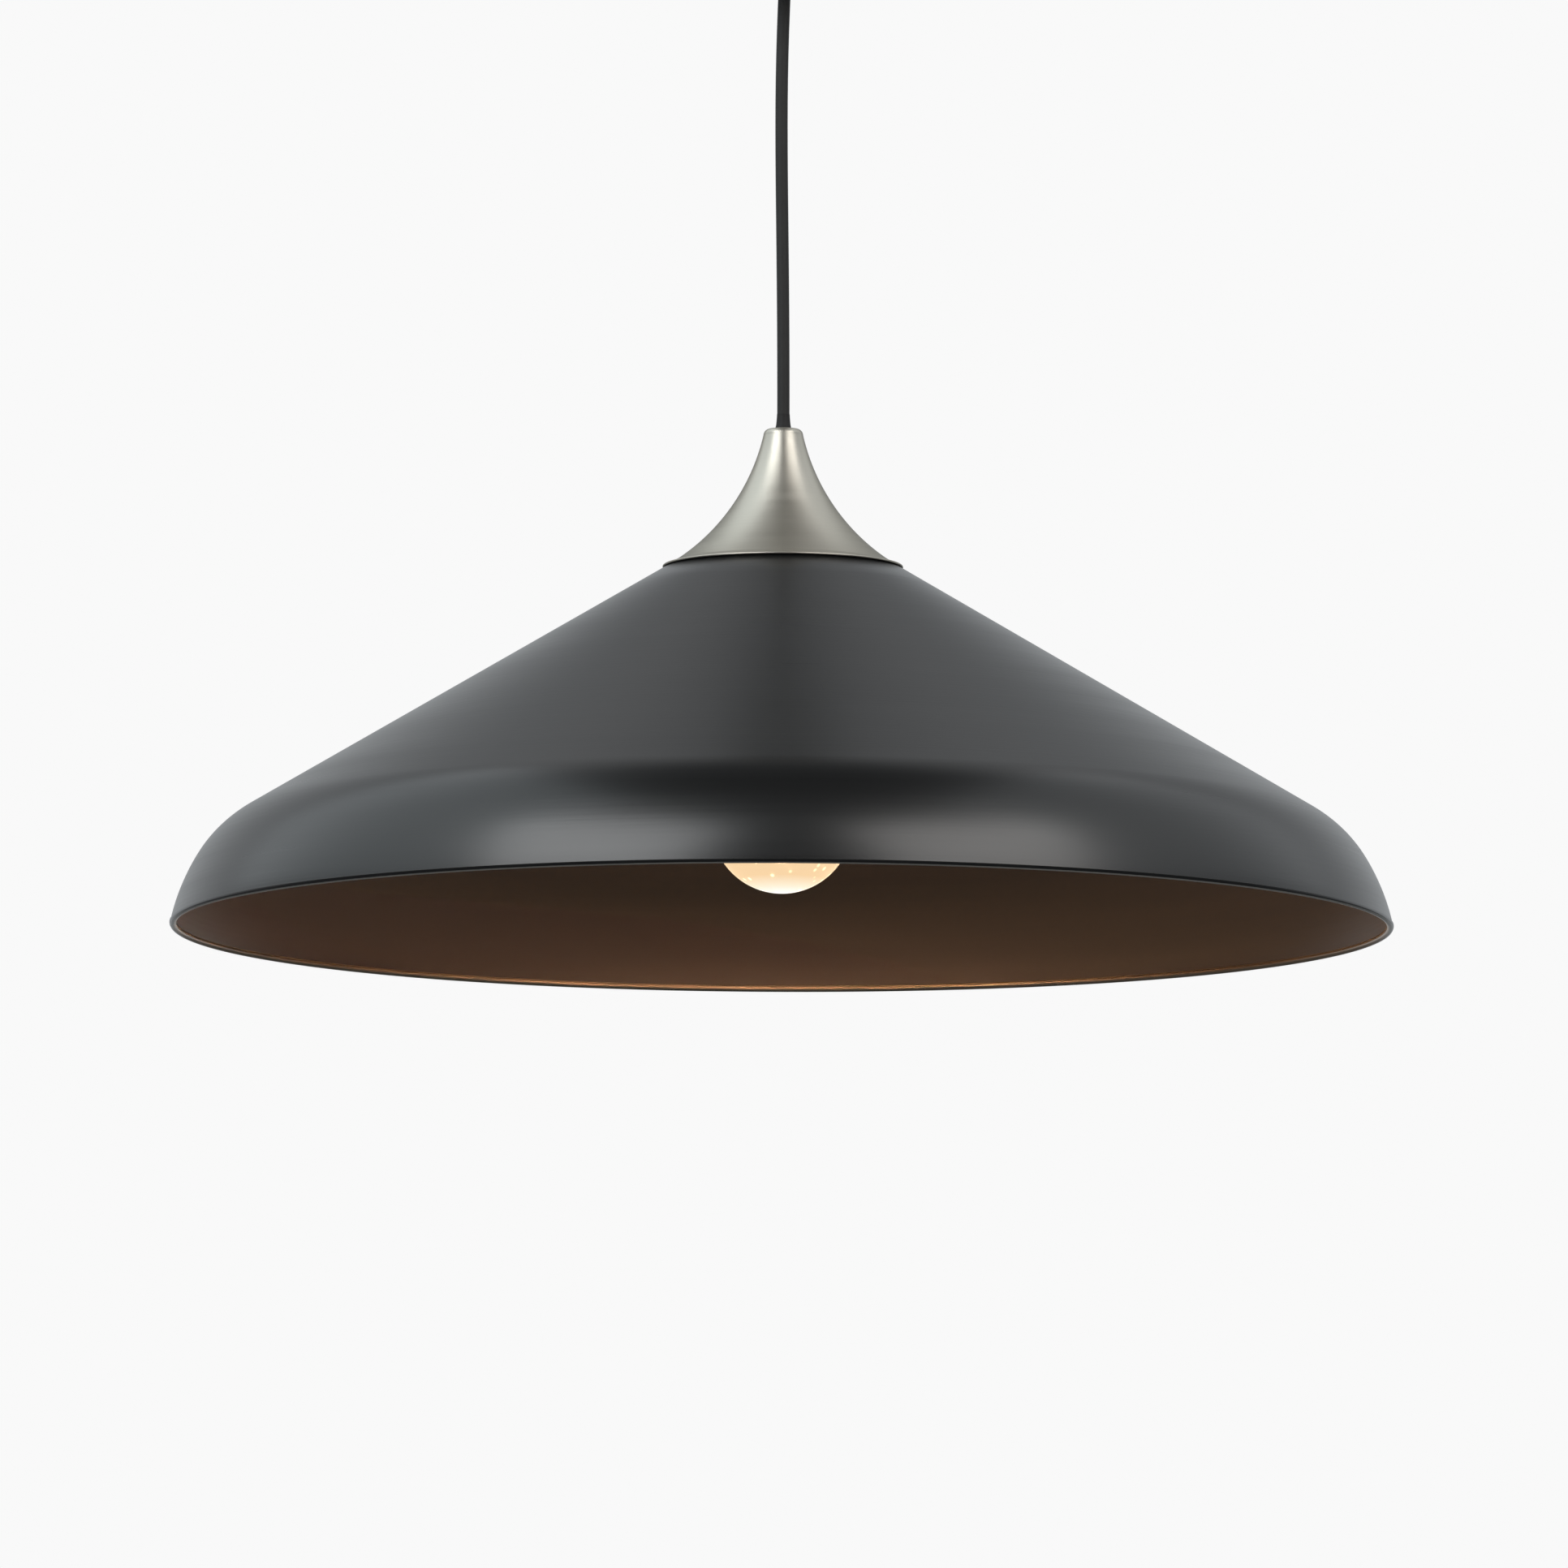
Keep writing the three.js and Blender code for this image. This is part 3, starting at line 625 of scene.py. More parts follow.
def shade_outline(offset):
    """Wall from the top plate's edge to the rim, on a wall offset inwards."""
    skirt = (RIM_R - SKIRT_ARC_R * math.cos(RIM_ANGLE), RIM_Z - SKIRT_ARC_R * math.sin(RIM_ANGLE))
    step = SKIRT_ARC_R - SHOULDER_ARC_R
    shoulder = (skirt[0] + step * math.cos(SHOULDER_ANGLE), skirt[1] + step * math.sin(SHOULDER_ANGLE))
    upper = arc(*shoulder, SHOULDER_ARC_R - offset, CONE_ANGLE, SHOULDER_ANGLE, 24)
    lower = arc(*skirt, SKIRT_ARC_R - offset, SHOULDER_ANGLE, RIM_ANGLE + 0.02, 24)
    start_r, start_z = upper[0]
    top_z = SHADE_PLATE_Z - offset
    reach = top_z - start_z
    cone_steps = 10
    cone = [(start_r - reach * (1 - i / cone_steps) * math.tan(CONE_ANGLE), top_z - reach * i / cone_steps)
            for i in range(cone_steps)]
    return cone + upper + lower[1:]


def make_shade():
    outside = shade_outline(0)
    inside = shade_outline(SHADE_WALL)[::-1]
    bead = arc(RIM_R - BEAD_R, RIM_Z + BEAD_R, BEAD_R, 0.1, -math.radians(215), 22)
    profile = (
        [(SHADE_HOLE_R, SHADE_PLATE_Z), (SHADE_HOLE_R + 22, SHADE_PLATE_Z)] + outside + bead + inside
        + [(SHADE_HOLE_R + 22, SHADE_PLATE_Z - SHADE_WALL), (SHADE_HOLE_R, SHADE_PLATE_Z - SHADE_WALL)]
    )
    obj = turned("shade_shell", profile, SHADE_SIDES)
    bead_top = RIM_Z + 2 * BEAD_R
    for polygon in obj.data.polygons:
        centre, normal = polygon.center / MM, polygon.normal
        outward = (normal.x * centre.x + normal.y * centre.y) / max(centre.xy.length, 1)
        # Material 2, the pale bead underside, is a painted highlight along the rim.
        if centre.z < RIM_Z + 0.5 and outward > -0.1:
            polygon.material_index = 2
        # Material 3, bronze metal on the bead's inner side, is painted reflection colour for the bulb's
        # glint.
        elif centre.z < bead_top and outward < 0.5:
            polygon.material_index = 3
        else:
            polygon.material_index = int(outward < 0 or (normal.z < -0.5 and centre.z > bead_top))
    return obj


piece(make_shade(), "lamp", ["shade"], "charcoal_paint", PAINT, INNER_PAINT, PAINTED_RIM_HIGHLIGHT, PAINTED_BEAD_GLINT)


# --- Cap ---------------------------------------------------------------------------------------------------

def cap_radius(z, offset):
    centre_r, centre_z = CAP_ARC_CENTRE
    return centre_r - math.sqrt((CAP_ARC_R + offset) ** 2 - (centre_z - z) ** 2)


def make_cap():
    steps = 40
    lip_z = CAP_BASE_Z + 0.9
    inner_base_z = CAP_BASE_Z + 2.4
    neck_z = CAP_TOP_Z - CAP_CORNER_R - 0.4

    def heights(start, end):
        return [start + (end - start) * i / steps for i in range(steps + 1)]

    outside = [(cap_radius(z, 0), z) for z in heights(neck_z, lip_z)]
    inside = [(cap_radius(z, CAP_WALL), z) for z in heights(inner_base_z, CAP_TOP_Z - 5)]
    corner = arc(CAP_NECK_R - CAP_CORNER_R, CAP_TOP_Z - CAP_CORNER_R, CAP_CORNER_R, math.pi / 2, 0, 12)
    lip = arc(CAP_BASE_R - 0.45, CAP_BASE_Z + 0.45, 0.45, math.pi / 2, -math.pi / 2, 8)
    profile = (
        [(CAP_HOLE_R + 0.05, CAP_TOP_Z - 0.5), (CAP_HOLE_R + 0.1, CAP_TOP_Z - 0.1)] + corner + outside + lip
        + [(45.6, inner_base_z)] + inside
        + [(CAP_NECK_R - CAP_WALL - 0.2, CAP_TOP_Z - CAP_CORNER_R), (CAP_HOLE_R + 0.4, CAP_TOP_Z - CAP_WALL)]
    )
    return turned("cap_shell", profile, 192)


piece(make_cap(), "lamp", ["trumpet_cap"], "brushed_nickel", NICKEL)


# --- Screws and other small turned pieces ------------------------------------------------------------------

def pan_screw(name, shank_r, length, head_r, head_height, pitch=0.6):
    """Slotted screw: its shank runs up from the origin, its domed head hangs below."""
    low, high = 0.3, length - 0.3
    head = [(0, -1.0), (0.45, -0.97), (0.75, -0.82), (0.93, -0.55), (1.0, -0.3), (1.0, -0.08), (0.97, 0)]
    profile = [(head_r * r, head_height * z) for r, z in head] + [(shank_r, 0)]
    profile += thread_line(shank_r, low, high, pitch) + [(shank_r * 0.75, length), (0, length)]
    obj = turned(name, profile, 48, helical(shank_r, 0.22, pitch, low, high))
    slot_depth = head_height * 0.5
    slot = block(name + "_slot", (head_r * 2.4, 0.75, slot_depth * 2), (0, 0, -head_height))
    return cut_with(obj, slot)


def grub_screw(name, radius, low, high, pitch=0.5):
    """Headless screw with a slot in its lower end."""
    start, end = low + 0.3, high - 0.5
    profile = [(0, low), (radius - 0.25, low), (radius, low + 0.2)] + thread_line(radius, start, end, pitch)
    profile += [(radius * 0.6, high), (0, high)]
    obj = turned(name, profile, 40, helical(radius, 0.18, pitch, start, end))
    return cut_with(obj, block(name + "_slot", (radius * 3, 0.5, 1.6), (0, 0, low)))


def hex_nut(name, low, high):
    """14 mm nut, chamfered all round."""
    flat = 7.0
    profile = [(THREAD_HOLE_R, low + 0.4), (THREAD_HOLE_R + 0.4, low), (flat, low)]
    profile += [(7.9, low + 0.5), (8.1, low + 0.8), (8.1, high - 0.8), (7.9, high - 0.5), (flat, high)]
    profile += [(THREAD_HOLE_R + 0.4, high), (THREAD_HOLE_R, high - 0.4)]
    return turned(name, profile, 96, hexagonal(flat))


def stripped_cord(name, low, high, open_low=False):
    """Cord whose sheath is cut square, with the cores coming out of one end."""
    shut, cut = (high, low) if open_low else (low, high)
    way = 1 if cut > shut else -1
    profile = [(0, shut), (CORD_R - 0.15, shut), (CORD_R, shut + 0.15 * way), (CORD_R, cut - 0.25 * way)]
    hollow = cut - 0.9 * way
    profile += [(CORD_R - 0.2, cut), (CORD_R - 0.55, cut), (CORD_R - 0.65, hollow), (0, hollow)]
    return turned(name, profile, 64)


# --- Ceiling fitting ---------------------------------------------------------------------------------------

def make_canopy():
    inner = CANOPY_R - CANOPY_WALL
    edge = CANOPY_R - CANOPY_CORNER_R
    floor = -CANOPY_DEPTH
    quarter = math.pi / 2
    profile = [(CANOPY_R - 0.2, 0), (CANOPY_R, -0.2)]
    profile += arc(edge, floor + CANOPY_CORNER_R, CANOPY_CORNER_R, 0, -quarter, 14)
    profile += [(THREAD_HOLE_R + 0.2, floor), (THREAD_HOLE_R, floor + 0.2)]
    profile += [(THREAD_HOLE_R, floor + CANOPY_WALL)]
    profile += arc(edge, floor + CANOPY_CORNER_R, CANOPY_CORNER_R - CANOPY_WALL, -quarter, 0, 14)
    profile += [(inner, 0)]
    return cut_with(
        turned("canopy_cup", profile, 144),
        placed(rod("canopy_screw_hole", 1.9, -60, 60), z=SIDE_SCREW_Z, turn=90, axis="Y"),
    )


def make_strap():
    bend, fold = 2.2, 0.6
    edge = STRAP_HALF - bend
    half = math.pi / 2
    outline = [(-STRAP_HALF, -EAR_DEPTH)] + arc(-edge, -bend, bend, math.pi, half, 8)
    outline += arc(edge, -bend, bend, half, 0, 8) + [(STRAP_HALF, -EAR_DEPTH)]
    outline += [(STRAP_HALF - STRAP_THICK, -EAR_DEPTH)] + arc(edge, -bend, fold, 0, half, 6)
    outline += arc(-edge, -bend, fold, half, math.pi, 6) + [(STRAP_THICK - STRAP_HALF, -EAR_DEPTH)]
    strap = placed(prism("strap", outline, STRAP_WIDTH, 0.15), turn=90)
    slot_x, slot_r, slot_reach = 26, 2.4, 4
    tools = []
    for side in (-1, 1):
        stadium = arc(side * slot_x + slot_reach, 0, slot_r, -half, half, 16)
        stadium += arc(side * slot_x - slot_reach, 0, slot_r, half, 3 * half, 16)
        tools.append(prism("strap_slot", stadium, 12))
    tools.append(placed(rod("strap_ear_hole", 1.9, -60, 60), z=SIDE_SCREW_Z, turn=90, axis="Y"))
    tools.append(placed(rod("strap_earth_hole", 1.9, -6, 6), x=EARTH_SCREW_X))
    return cut_with(strap, *tools)


def make_gland():
    top, under = -17.0, -CANOPY_DEPTH - GAP
    grip_low, grip_high = -31.0, -26.0
    thread = helical(THREAD_R, 0.4, 1.0, under + 0.3, top - 0.4)
    flutes = fluted(20, 0.35, 8.9, grip_low, grip_high)
    profile = [(3.2, top - 0.2), (3.4, top), (THREAD_R - 0.5, top)]
    profile += thread_line(THREAD_R, under + 0.3, top - 0.4, 1.0)[::-1] + [(THREAD_R, under)]
    profile += [(8.8, under), (9.2, under - 0.4), (9.2, -26.3), (9.2, -30.7), (9.15, -31.3)]
    profile += [(8.45, -37.3), (8.1, -37.8), (7.7, -37.8), (7.3, -37.5), (6.7, -36.7), (6.4, -35.8)]
    profile += [(6.4, GLAND_SHOULDER_Z), (3.2, GLAND_SHOULDER_Z)]
    gland = turned("gland_body", profile, 160, lambda r, z, a: flutes(thread(r, z, a), z, a))
    return cut_with(gland, placed(rod("gland_hole", 1.6, 0, 12), z=GRUB_Z, turn=-90))


def make_block():
    grooves = [block("block_groove", (1.0, 14, 1.6), (side * 4.25, 0, -12.5)) for side in (-1, 1)]
    holes = [placed(rod("block_hole", 1.7, -10, 10), x=x, z=POLE_Z, turn=90) for x in POLE_X]
    screws = [placed(rod("block_screw_hole", 1.5, -14, POLE_Z), x=x, y=POLE_SCREW_Y) for x in POLE_X]
    return cut_with(block("block_body", (26, 13, 10.5), (0, 0, -7.25), 0.5), *grooves, *holes, *screws)


def bush(name, ball_r, bore_r, low, high, centre_z):
    """Rubber ring with a ball-shaped outside and softened edges."""
    outside = arc(0, 0, ball_r, math.asin(low / ball_r) + 0.03, math.asin(high / ball_r) - 0.03, 16)
    profile = [(bore_r, low + 0.2), (bore_r + 0.2, low)] + outside
    profile += [(bore_r + 0.2, high), (bore_r, high - 0.2)]
    return placed(turned(name, profile, 96), z=centre_z)


FITTING = "ceiling_fitting"
piece(make_canopy(), FITTING, ["ceiling_canopy"], "brushed_nickel", NICKEL)
piece(make_strap(), FITTING, ["bracket_strap"], "zinc_steel", ZINC)
piece(make_gland(), FITTING, ["ceiling_gland"], "black_plastic", BLACK)
piece(hex_nut("gland_hex", -23.3, -19.8), FITTING, ["gland_nut"], "zinc_steel", ZINC)
piece(make_block(), FITTING, ["terminal_block"], "white_plastic", WHITE)
piece(stripped_cord("cord_tail_end", GLAND_SHOULDER_Z, -16), FITTING, ["cord_tail"], "cord_sheath", SHEATH)
for label, side in (("left", -1), ("right", 1)):
    screw = placed(pan_screw("side_screw_" + label, 1.5, 6.5, 3.4, 2.0), turn=-90 * side, axis="Y")
    placed(screw, x=side * (CANOPY_R + GAP), z=SIDE_SCREW_Z)
    piece(screw, FITTING, ["canopy_screw_" + label], "brushed_nickel", TINNED)
gland_grub = placed(grub_screw("gland_grub", 1.2, -8.6, -2.95), z=GRUB_Z, turn=90)
piece(gland_grub, FITTING, ["gland_grub_screw"], "brass", BRASS)
earth_screw = pan_screw("strap_earth_screw", 1.5, STRAP_THICK, 3, 1.8)
placed(earth_screw, x=EARTH_SCREW_X, z=-STRAP_THICK - GAP)
piece(earth_screw, FITTING, ["bracket_earth_screw"], "brass", BRASS)

CORES = (("live", -1.26, 0.72, BROWN_WIRE, "brown_wire"), ("neutral", 0, -1.45, BLUE_WIRE, "blue_wire"),
         ("earth", 1.26, 0.72, GREEN_WIRE, "green_wire"))
for (pole, x, y, made, slot_name), pole_x in zip(CORES, POLE_X):
    route = [
        (x, y, -16.5), (x, y, -15.4), (x * 2, y - 2, -14.3), (pole_x * 0.8, -7.5, -13.8),
        (pole_x, -11.5, -11.5), (pole_x, -10.5, POLE_Z - 0.3), (pole_x, -6, POLE_Z), (pole_x, -1.5, POLE_Z),
    ]
    piece(swept(pole + "_tail", route, 0.8), FITTING, [f"ceiling_{pole}_wire"], slot_name, made)
    clamp = placed(grub_screw("clamp_screw_" + pole, 1.15, -12, POLE_Z - 1.1), x=pole_x, y=POLE_SCREW_Y)
    piece(clamp, FITTING, ["block_screw_" + pole], "brass", BRASS)

upper = bush("gland_bush", 6.0, 4.2, -1.6, 1.6, CORD_TOP_Z)
piece(upper, "upper_bush", ["upper_bush"], "black_rubber", RUBBER)
lower = bush("cap_bush", 5.0, 3.8, -2.2, -0.1, CAP_TOP_Z)
piece(lower, "lower_bush", ["lower_bush"], "black_rubber", RUBBER)


# --- Cord grip, nipple and earth tag inside the cap ---------------------------------------------------------

GRIP_SCREW_Z = CAP_TOP_Z - 18.9
TAG_Z = CAP_TOP_Z - 36.5


def make_grip():
    low, high = DOME_TOP_Z + GAP, CAP_TOP_Z - 16
    waist = CAP_TOP_Z - 20
    bore_z = CAP_TOP_Z - 21.7
    profile = [(THREAD_HOLE_R, low + 0.2), (THREAD_HOLE_R + 0.2, low), (7.6, low), (8, low + 0.4)]
    profile += [(8, low + 0.8), (8, waist - 0.6), (7.9, waist), (6.8, high - 0.5), (6.4, high), (3.3, high)]
    profile += [(3.1, high - 0.2), (3.1, bore_z), (THREAD_HOLE_R, bore_z)]
    grip = turned("grip_body", profile, 144, fluted(18, 0.4, 7.95, low + 0.5, waist))
    return cut_with(grip, placed(rod("grip_hole", 1.6, 0, 12), z=GRIP_SCREW_Z, turn=-90))


def make_nipple():
    low, high = CAP_TOP_Z - 40, CAP_TOP_Z - 22
    profile = [(3.2, low), (THREAD_R - 0.5, low)] + thread_line(THREAD_R, low + 0.4, high - 0.4, 1.0)
    profile += [(THREAD_R - 0.5, high), (3.2, high)]
    return turned("nipple_tube", profile, 80, helical(THREAD_R, 0.4, 1.0, low + 0.4, high - 0.4))


def make_tag():
    edge = math.asin(2.0 / 8.0)
    outline = arc(0, 0, 8, edge, TAU - edge, 48) + arc(12.5, 0, 2, -math.pi / 2, math.pi / 2, 12)
    bore = placed(rod("tag_bore", THREAD_HOLE_R, -3, 3, 64))
    eye = placed(rod("tag_eye", 0.9, -3, 3), x=12.4)
    return placed(cut_with(prism("tag_plate", outline, 0.8, 0.1), bore, eye), z=TAG_Z - 0.4)


piece(make_grip(), "cord_end", ["cord_grip"], "black_plastic", BLACK)
grip_grub = placed(grub_screw("grip_grub", 1.2, -8.2, -2.95), z=GRIP_SCREW_Z, turn=90)
piece(grip_grub, "cord_end", ["cord_grip_screw"], "zinc_steel", ZINC)
inner_end = stripped_cord("cord_inner_end", CORD_END_Z, CAP_TOP_Z - 5, open_low=True)
piece(inner_end, "cord_end", ["inner_cord"], "cord_sheath", SHEATH)
piece(make_nipple(), "lamp", ["threaded_nipple"], "zinc_steel", ZINC)
piece(hex_nut("nipple_hex", CAP_TOP_Z - 36.2, CAP_TOP_Z - 32.5), "lamp", ["nipple_nut"], "zinc_steel", ZINC)
piece(make_tag(), "lamp", ["earth_tag"], "brass", TINNED)


# --- Lampholder --------------------------------------------------------------------------------------------

def lamp_line(*points):
    """Profile points measured down from the cap's top."""
    return [(r, CAP_TOP_Z + z) for r, z in points]


def make_dome():
    quarter = math.pi / 2
    foot = COLLAR_TOP_Z + GAP
    profile = [(21.3, foot), (21.5, foot + 0.2)] + arc(9.5, CAP_TOP_Z - 42, 12, 0, quarter, 16)
    profile += [(5.7, DOME_TOP_Z), (5.5, DOME_TOP_Z - 0.2)] + lamp_line((5.5, -32.2))
    profile += arc(9.5, CAP_TOP_Z - 42, 9.6, quarter, 0, 16) + [(19.1, foot)]
    return turned("holder_dome", profile, 96)


def make_skirt():
    plate = SHADE_PLATE_Z + GAP
    low, high, pitch = CAP_TOP_Z - 76, CAP_TOP_Z - 58, 2.5
    mouth = SKIRT_MOUTH_Z
    profile = [(24.3, COLLAR_TOP_Z), (24.5, COLLAR_TOP_Z - 0.2), (24.5, plate + 0.2), (24.3, plate)]
    profile += [(SKIRT_R, plate)]
    profile += thread_line(SKIRT_R, low, high, pitch)[::-1]
    profile += [(SKIRT_R, mouth + 1.2), (SKIRT_R - 0.15, mouth + 0.7), (SKIRT_R - 0.5, mouth + 0.25)]
    profile += [(SKIRT_R - 1, mouth), (15.7, mouth), (15.4, mouth + 0.15), (15.2, mouth + 0.6)]
    profile += [(15.2, SHELF_Z), (16.9, SHELF_Z)]
    profile += lamp_line((16.9, -49.2), (17.1, -49), (18.4, -49), (18.6, -49.2)) + [(18.6, COLLAR_TOP_Z)]
    return turned("holder_skirt", profile, 120, helical(SKIRT_R, 0.5, pitch, low, high))


def make_ring():
    high = SHADE_PLATE_Z - SHADE_WALL - GAP
    low = high - 4
    profile = [(20.2, low + 0.3), (20.5, low), (27.7, low), (28.3, low + 0.25), (28.5, low + 0.8)]
    profile += [(28.5, high - 0.8), (28.3, high - 0.25), (27.7, high), (20.5, high), (20.2, high - 0.3)]
    lobes = 12

    def shape(r, z, a):
        return r - 0.9 + 0.9 * math.cos(lobes * a) if r > 25 else r

    return turned("clamp_ring", profile, 192, shape)


def make_insert():
    profile = rounded(
        [(0.01, CAP_TOP_Z - 80.5), (13.4, CAP_TOP_Z - 80.5), (13.4, SHELF_Z + GAP), (16.6, SHELF_Z + GAP),
         (16.6, INSERT_TOP_Z), (0.01, INSERT_TOP_Z)], 0.5,
    )
    body = turned("holder_insert", profile, 96)
    tools = []
    for x in (-TERMINAL_X, TERMINAL_X):
        tools.append(placed(rod("insert_screw_hole", 1.9, CAP_TOP_Z - 58, CAP_TOP_Z - 40), x=x))
        tools.append(placed(rod("insert_wire_hole", 1.5, CAP_TOP_Z - 58, CAP_TOP_Z - 40), x=x, y=WIRE_HOLE_Y))
    return cut_with(body, *tools)


EDISON_PITCH = 3.63


def make_screw_shell():
    low, high = SKIRT_MOUTH_Z + 2, SHELF_Z - GAP
    outside = thread_line(14.7, low, high, EDISON_PITCH)
    inside = thread_line(14.35, low, high, EDISON_PITCH)[::-1]

    def shape(r, z, a):
        return r - 0.08 + 0.08 * math.cos(TAU * z / EDISON_PITCH - a)

    return turned("holder_shell", outside + inside, 96, shape)


def make_contact():
    top, bottom = CAP_TOP_Z - 80.8, BULB_FOOT_Z + GAP
    thick = 0.6
    outline = [
        (-9, top), (-2.7, top), (-2.2, top - 0.15), (2.6, bottom + thick + 0.15), (3.1, bottom + thick),
        (6, bottom + thick), (6, bottom), (2.8, bottom), (2.3, bottom + 0.15), (-2.5, top - thick - 0.15),
        (-3.0, top - thick), (-9, top - thick),
    ]
    return placed(prism("contact_strip", outline, 5, 0.08), turn=90)


piece(make_dome(), "lamp", ["lampholder_dome"], "black_plastic", BLACK)
piece(make_skirt(), "lamp", ["lampholder_skirt"], "black_plastic", BLACK)
piece(make_ring(), "lamp", ["shade_ring"], "black_plastic", BLACK)
piece(make_insert(), "lamp", ["lampholder_insert"], "white_ceramic", CERAMIC)
piece(make_screw_shell(), "lamp", ["screw_shell"], "brass", BRASS)
piece(make_contact(), "lamp", ["centre_contact"], "brass", BRASS)

LEADS = (("live", -1, BROWN_WIRE, "brown_wire"), ("neutral", 1, BLUE_WIRE, "blue_wire"))
for pole, side, made, slot_name in LEADS:
    x = side * TERMINAL_X
    screw = placed(pan_screw("terminal_screw_" + pole, 1.5, 6, 2.6, 1.6), x=x, z=INSERT_TOP_Z + GAP, turn=180)
    piece(screw, "lamp", ["holder_screw_" + pole], "brass", BRASS)
    route = [
        (side * 1.2, 0.4, -41.5), (side * 1.2, 0.4, -42.8), (side * 1.5, 0.8, -43.8), (side * 5, 3.4, -45.6),
        (x - side * 0.6, WIRE_HOLE_Y, -47.5), (x, WIRE_HOLE_Y, -50), (x, WIRE_HOLE_Y, -56),
    ]
    route = [(a, b, CAP_TOP_Z + c) for a, b, c in route]
    piece(swept(pole + "_lead", route, 0.9), "lamp", [f"holder_{pole}_wire"], slot_name, made)

earth_route = [
    (0, -1.5, -42.6), (0.2, -1.8, -43.6), (4, -3.5, -44.8), (9.5, -3, -43), (12.2, -0.8, -40),
    (12.4, 0, -37.6),
]
earth_route = [(a, b, CAP_TOP_Z + c) for a, b, c in earth_route]
piece(swept("earth_lead", earth_route, 0.8), "lamp", ["holder_earth_wire"], "green_wire", GREEN_WIRE)


# --- Bulb --------------------------------------------------------------------------------------------------

def glass_outline(offset):
    end = math.radians(38)
    ball = arc(0, BULB_CENTRE_Z, BULB_R - offset, -math.pi / 2, end, 40)
    ball[0] = (0, ball[0][1])
    end_r, end_z = ball[-1]
    neck = BULB_NECK_R - offset
    a, b = Vector((end_r, end_z)), Vector((end_r - 16 * math.sin(end), end_z + 16 * math.cos(end)))
    c, d = Vector((neck, BULB_FOOT_Z - 39)), Vector((neck, BULB_FOOT_Z - 27))
    flare = []
    for i in range(1, 21):
        t = i / 20
        point = a * (1 - t) ** 3 + b * 3 * t * (1 - t) ** 2 + c * 3 * t * t * (1 - t) + d * t ** 3
        flare.append((point.x, point.y))
    return ball + flare + [(neck, BULB_FOOT_Z - 17)]


def lit_glass():
    """Lit bulb glass: a warm glow, whiter towards the round end, with small bright painted glints that stand
    in for sparkles of filament light reflected in the glass.
    """
    nodes = Nodes("lit_bulb_glass")
    parts = nodes.add("ShaderNodeSeparateXYZ")
    nodes.link(nodes.object_point, parts.inputs[0])
    height = nodes.add("ShaderNodeMapRange")
    low = (BULB_CENTRE_Z - BULB_R) * MM
    for key, value in (("From Min", low), ("From Max", low + 0.060)):
        height.inputs[key].default_value = value
    nodes.link(parts.outputs["Z"], height.inputs["Value"])
    glow = nodes.ramp(
        height.outputs["Result"], (0.0, (1.0, 0.98, 0.93)), (0.035, (0.98, 0.86, 0.66)),
        (0.10, (0.93, 0.66, 0.38)), (0.5, (0.93, 0.66, 0.38)), (1.0, (0.8, 0.5, 0.25)),
    )
    # Painted glints: bright cells added to the glow, in place of sparkles of reflected filament light.
    painted_glints = nodes.add("ShaderNodeTexVoronoi", feature="F1")
    painted_glints.inputs["Scale"].default_value = 1.0
    nodes.link(nodes.scaled(210, 210, 120), painted_glints.inputs["Vector"])
    glint_colour = nodes.ramp(painted_glints.outputs["Distance"], (0.10, (0.9, 0.8, 0.5)), (0.24, (0.0, 0.0, 0.0)))
    total = nodes.add("ShaderNodeMix", data_type="RGBA", blend_type="ADD")
    total.inputs["Factor"].default_value = 1.0
    nodes.link(glow, total.inputs["A"])
    nodes.link(glint_colour, total.inputs["B"])
    nodes.link(total.outputs["Result"], nodes.shader.inputs["Emission Color"])
    nodes.set(Base_Color=(0.01, 0.01, 0.01, 1), Roughness=0.06, Emission_Strength=1.0, Alpha=0.9)
    return nodes.material


def bulb_line(*points):
    """Profile points measured from the bulb's foot."""
    return [(r, BULB_FOOT_Z + z) for r, z in points]


def make_base():
    low, high = BULB_FOOT_Z - 23.6, BULB_FOOT_Z - 8.6
    profile = bulb_line((6, -6.9), (10.9, -6.9), (11.8, -7.3), (12.5, -8.0))
    profile += thread_line(12.9, low, high, EDISON_PITCH)[::-1]
    profile += bulb_line((12.9, -24.8), (12.7, -25), (12.0, -25), (11.85, -24.8))
    profile += bulb_line((11.85, -9.2), (11.1, -7.7), (6, -7.7))
    return turned("base_cap", profile, 120, helical(12.9, 0.8, EDISON_PITCH, low, high))


def make_insulator():
    profile = bulb_line(
        (0, -6.6), (10.6, -6.6), (10.8, -6.4), (10.8, -5.8), (10.4, -5.2), (8.2, -3.9), (6.2, -2.6),
        (5.2, -2.1), (0, -2.1),
    )
    return turned("base_insulator", profile, 80)


def make_foot_contact():
    profile = bulb_line((0, -1.8), (4.4, -1.8), (4.6, -1.6), (4.6, -0.95), (4.2, -0.5))
    profile += bulb_line((3.2, -0.15), (1.6, 0), (0, 0))
    return turned("base_contact", profile, 64)


def make_stem():
    profile = bulb_line(
        (0, -61), (0.9, -60.8), (1.4, -60.2), (2.6, -58.8), (3.4, -57), (3.7, -48), (4.2, -33), (4.9, -28),
        (6.8, -24), (9.2, -21.2), (10.2, -20), (10.2, -18.2), (10.0, -18), (0, -18),
    )
    return turned("glass_stem", profile, 64)


FILAMENTS = 4
FILAMENT_TOP = (6.0, -64.0)    # radius, and height from the bulb's foot
FILAMENT_LOW = (11.0, -96.0)


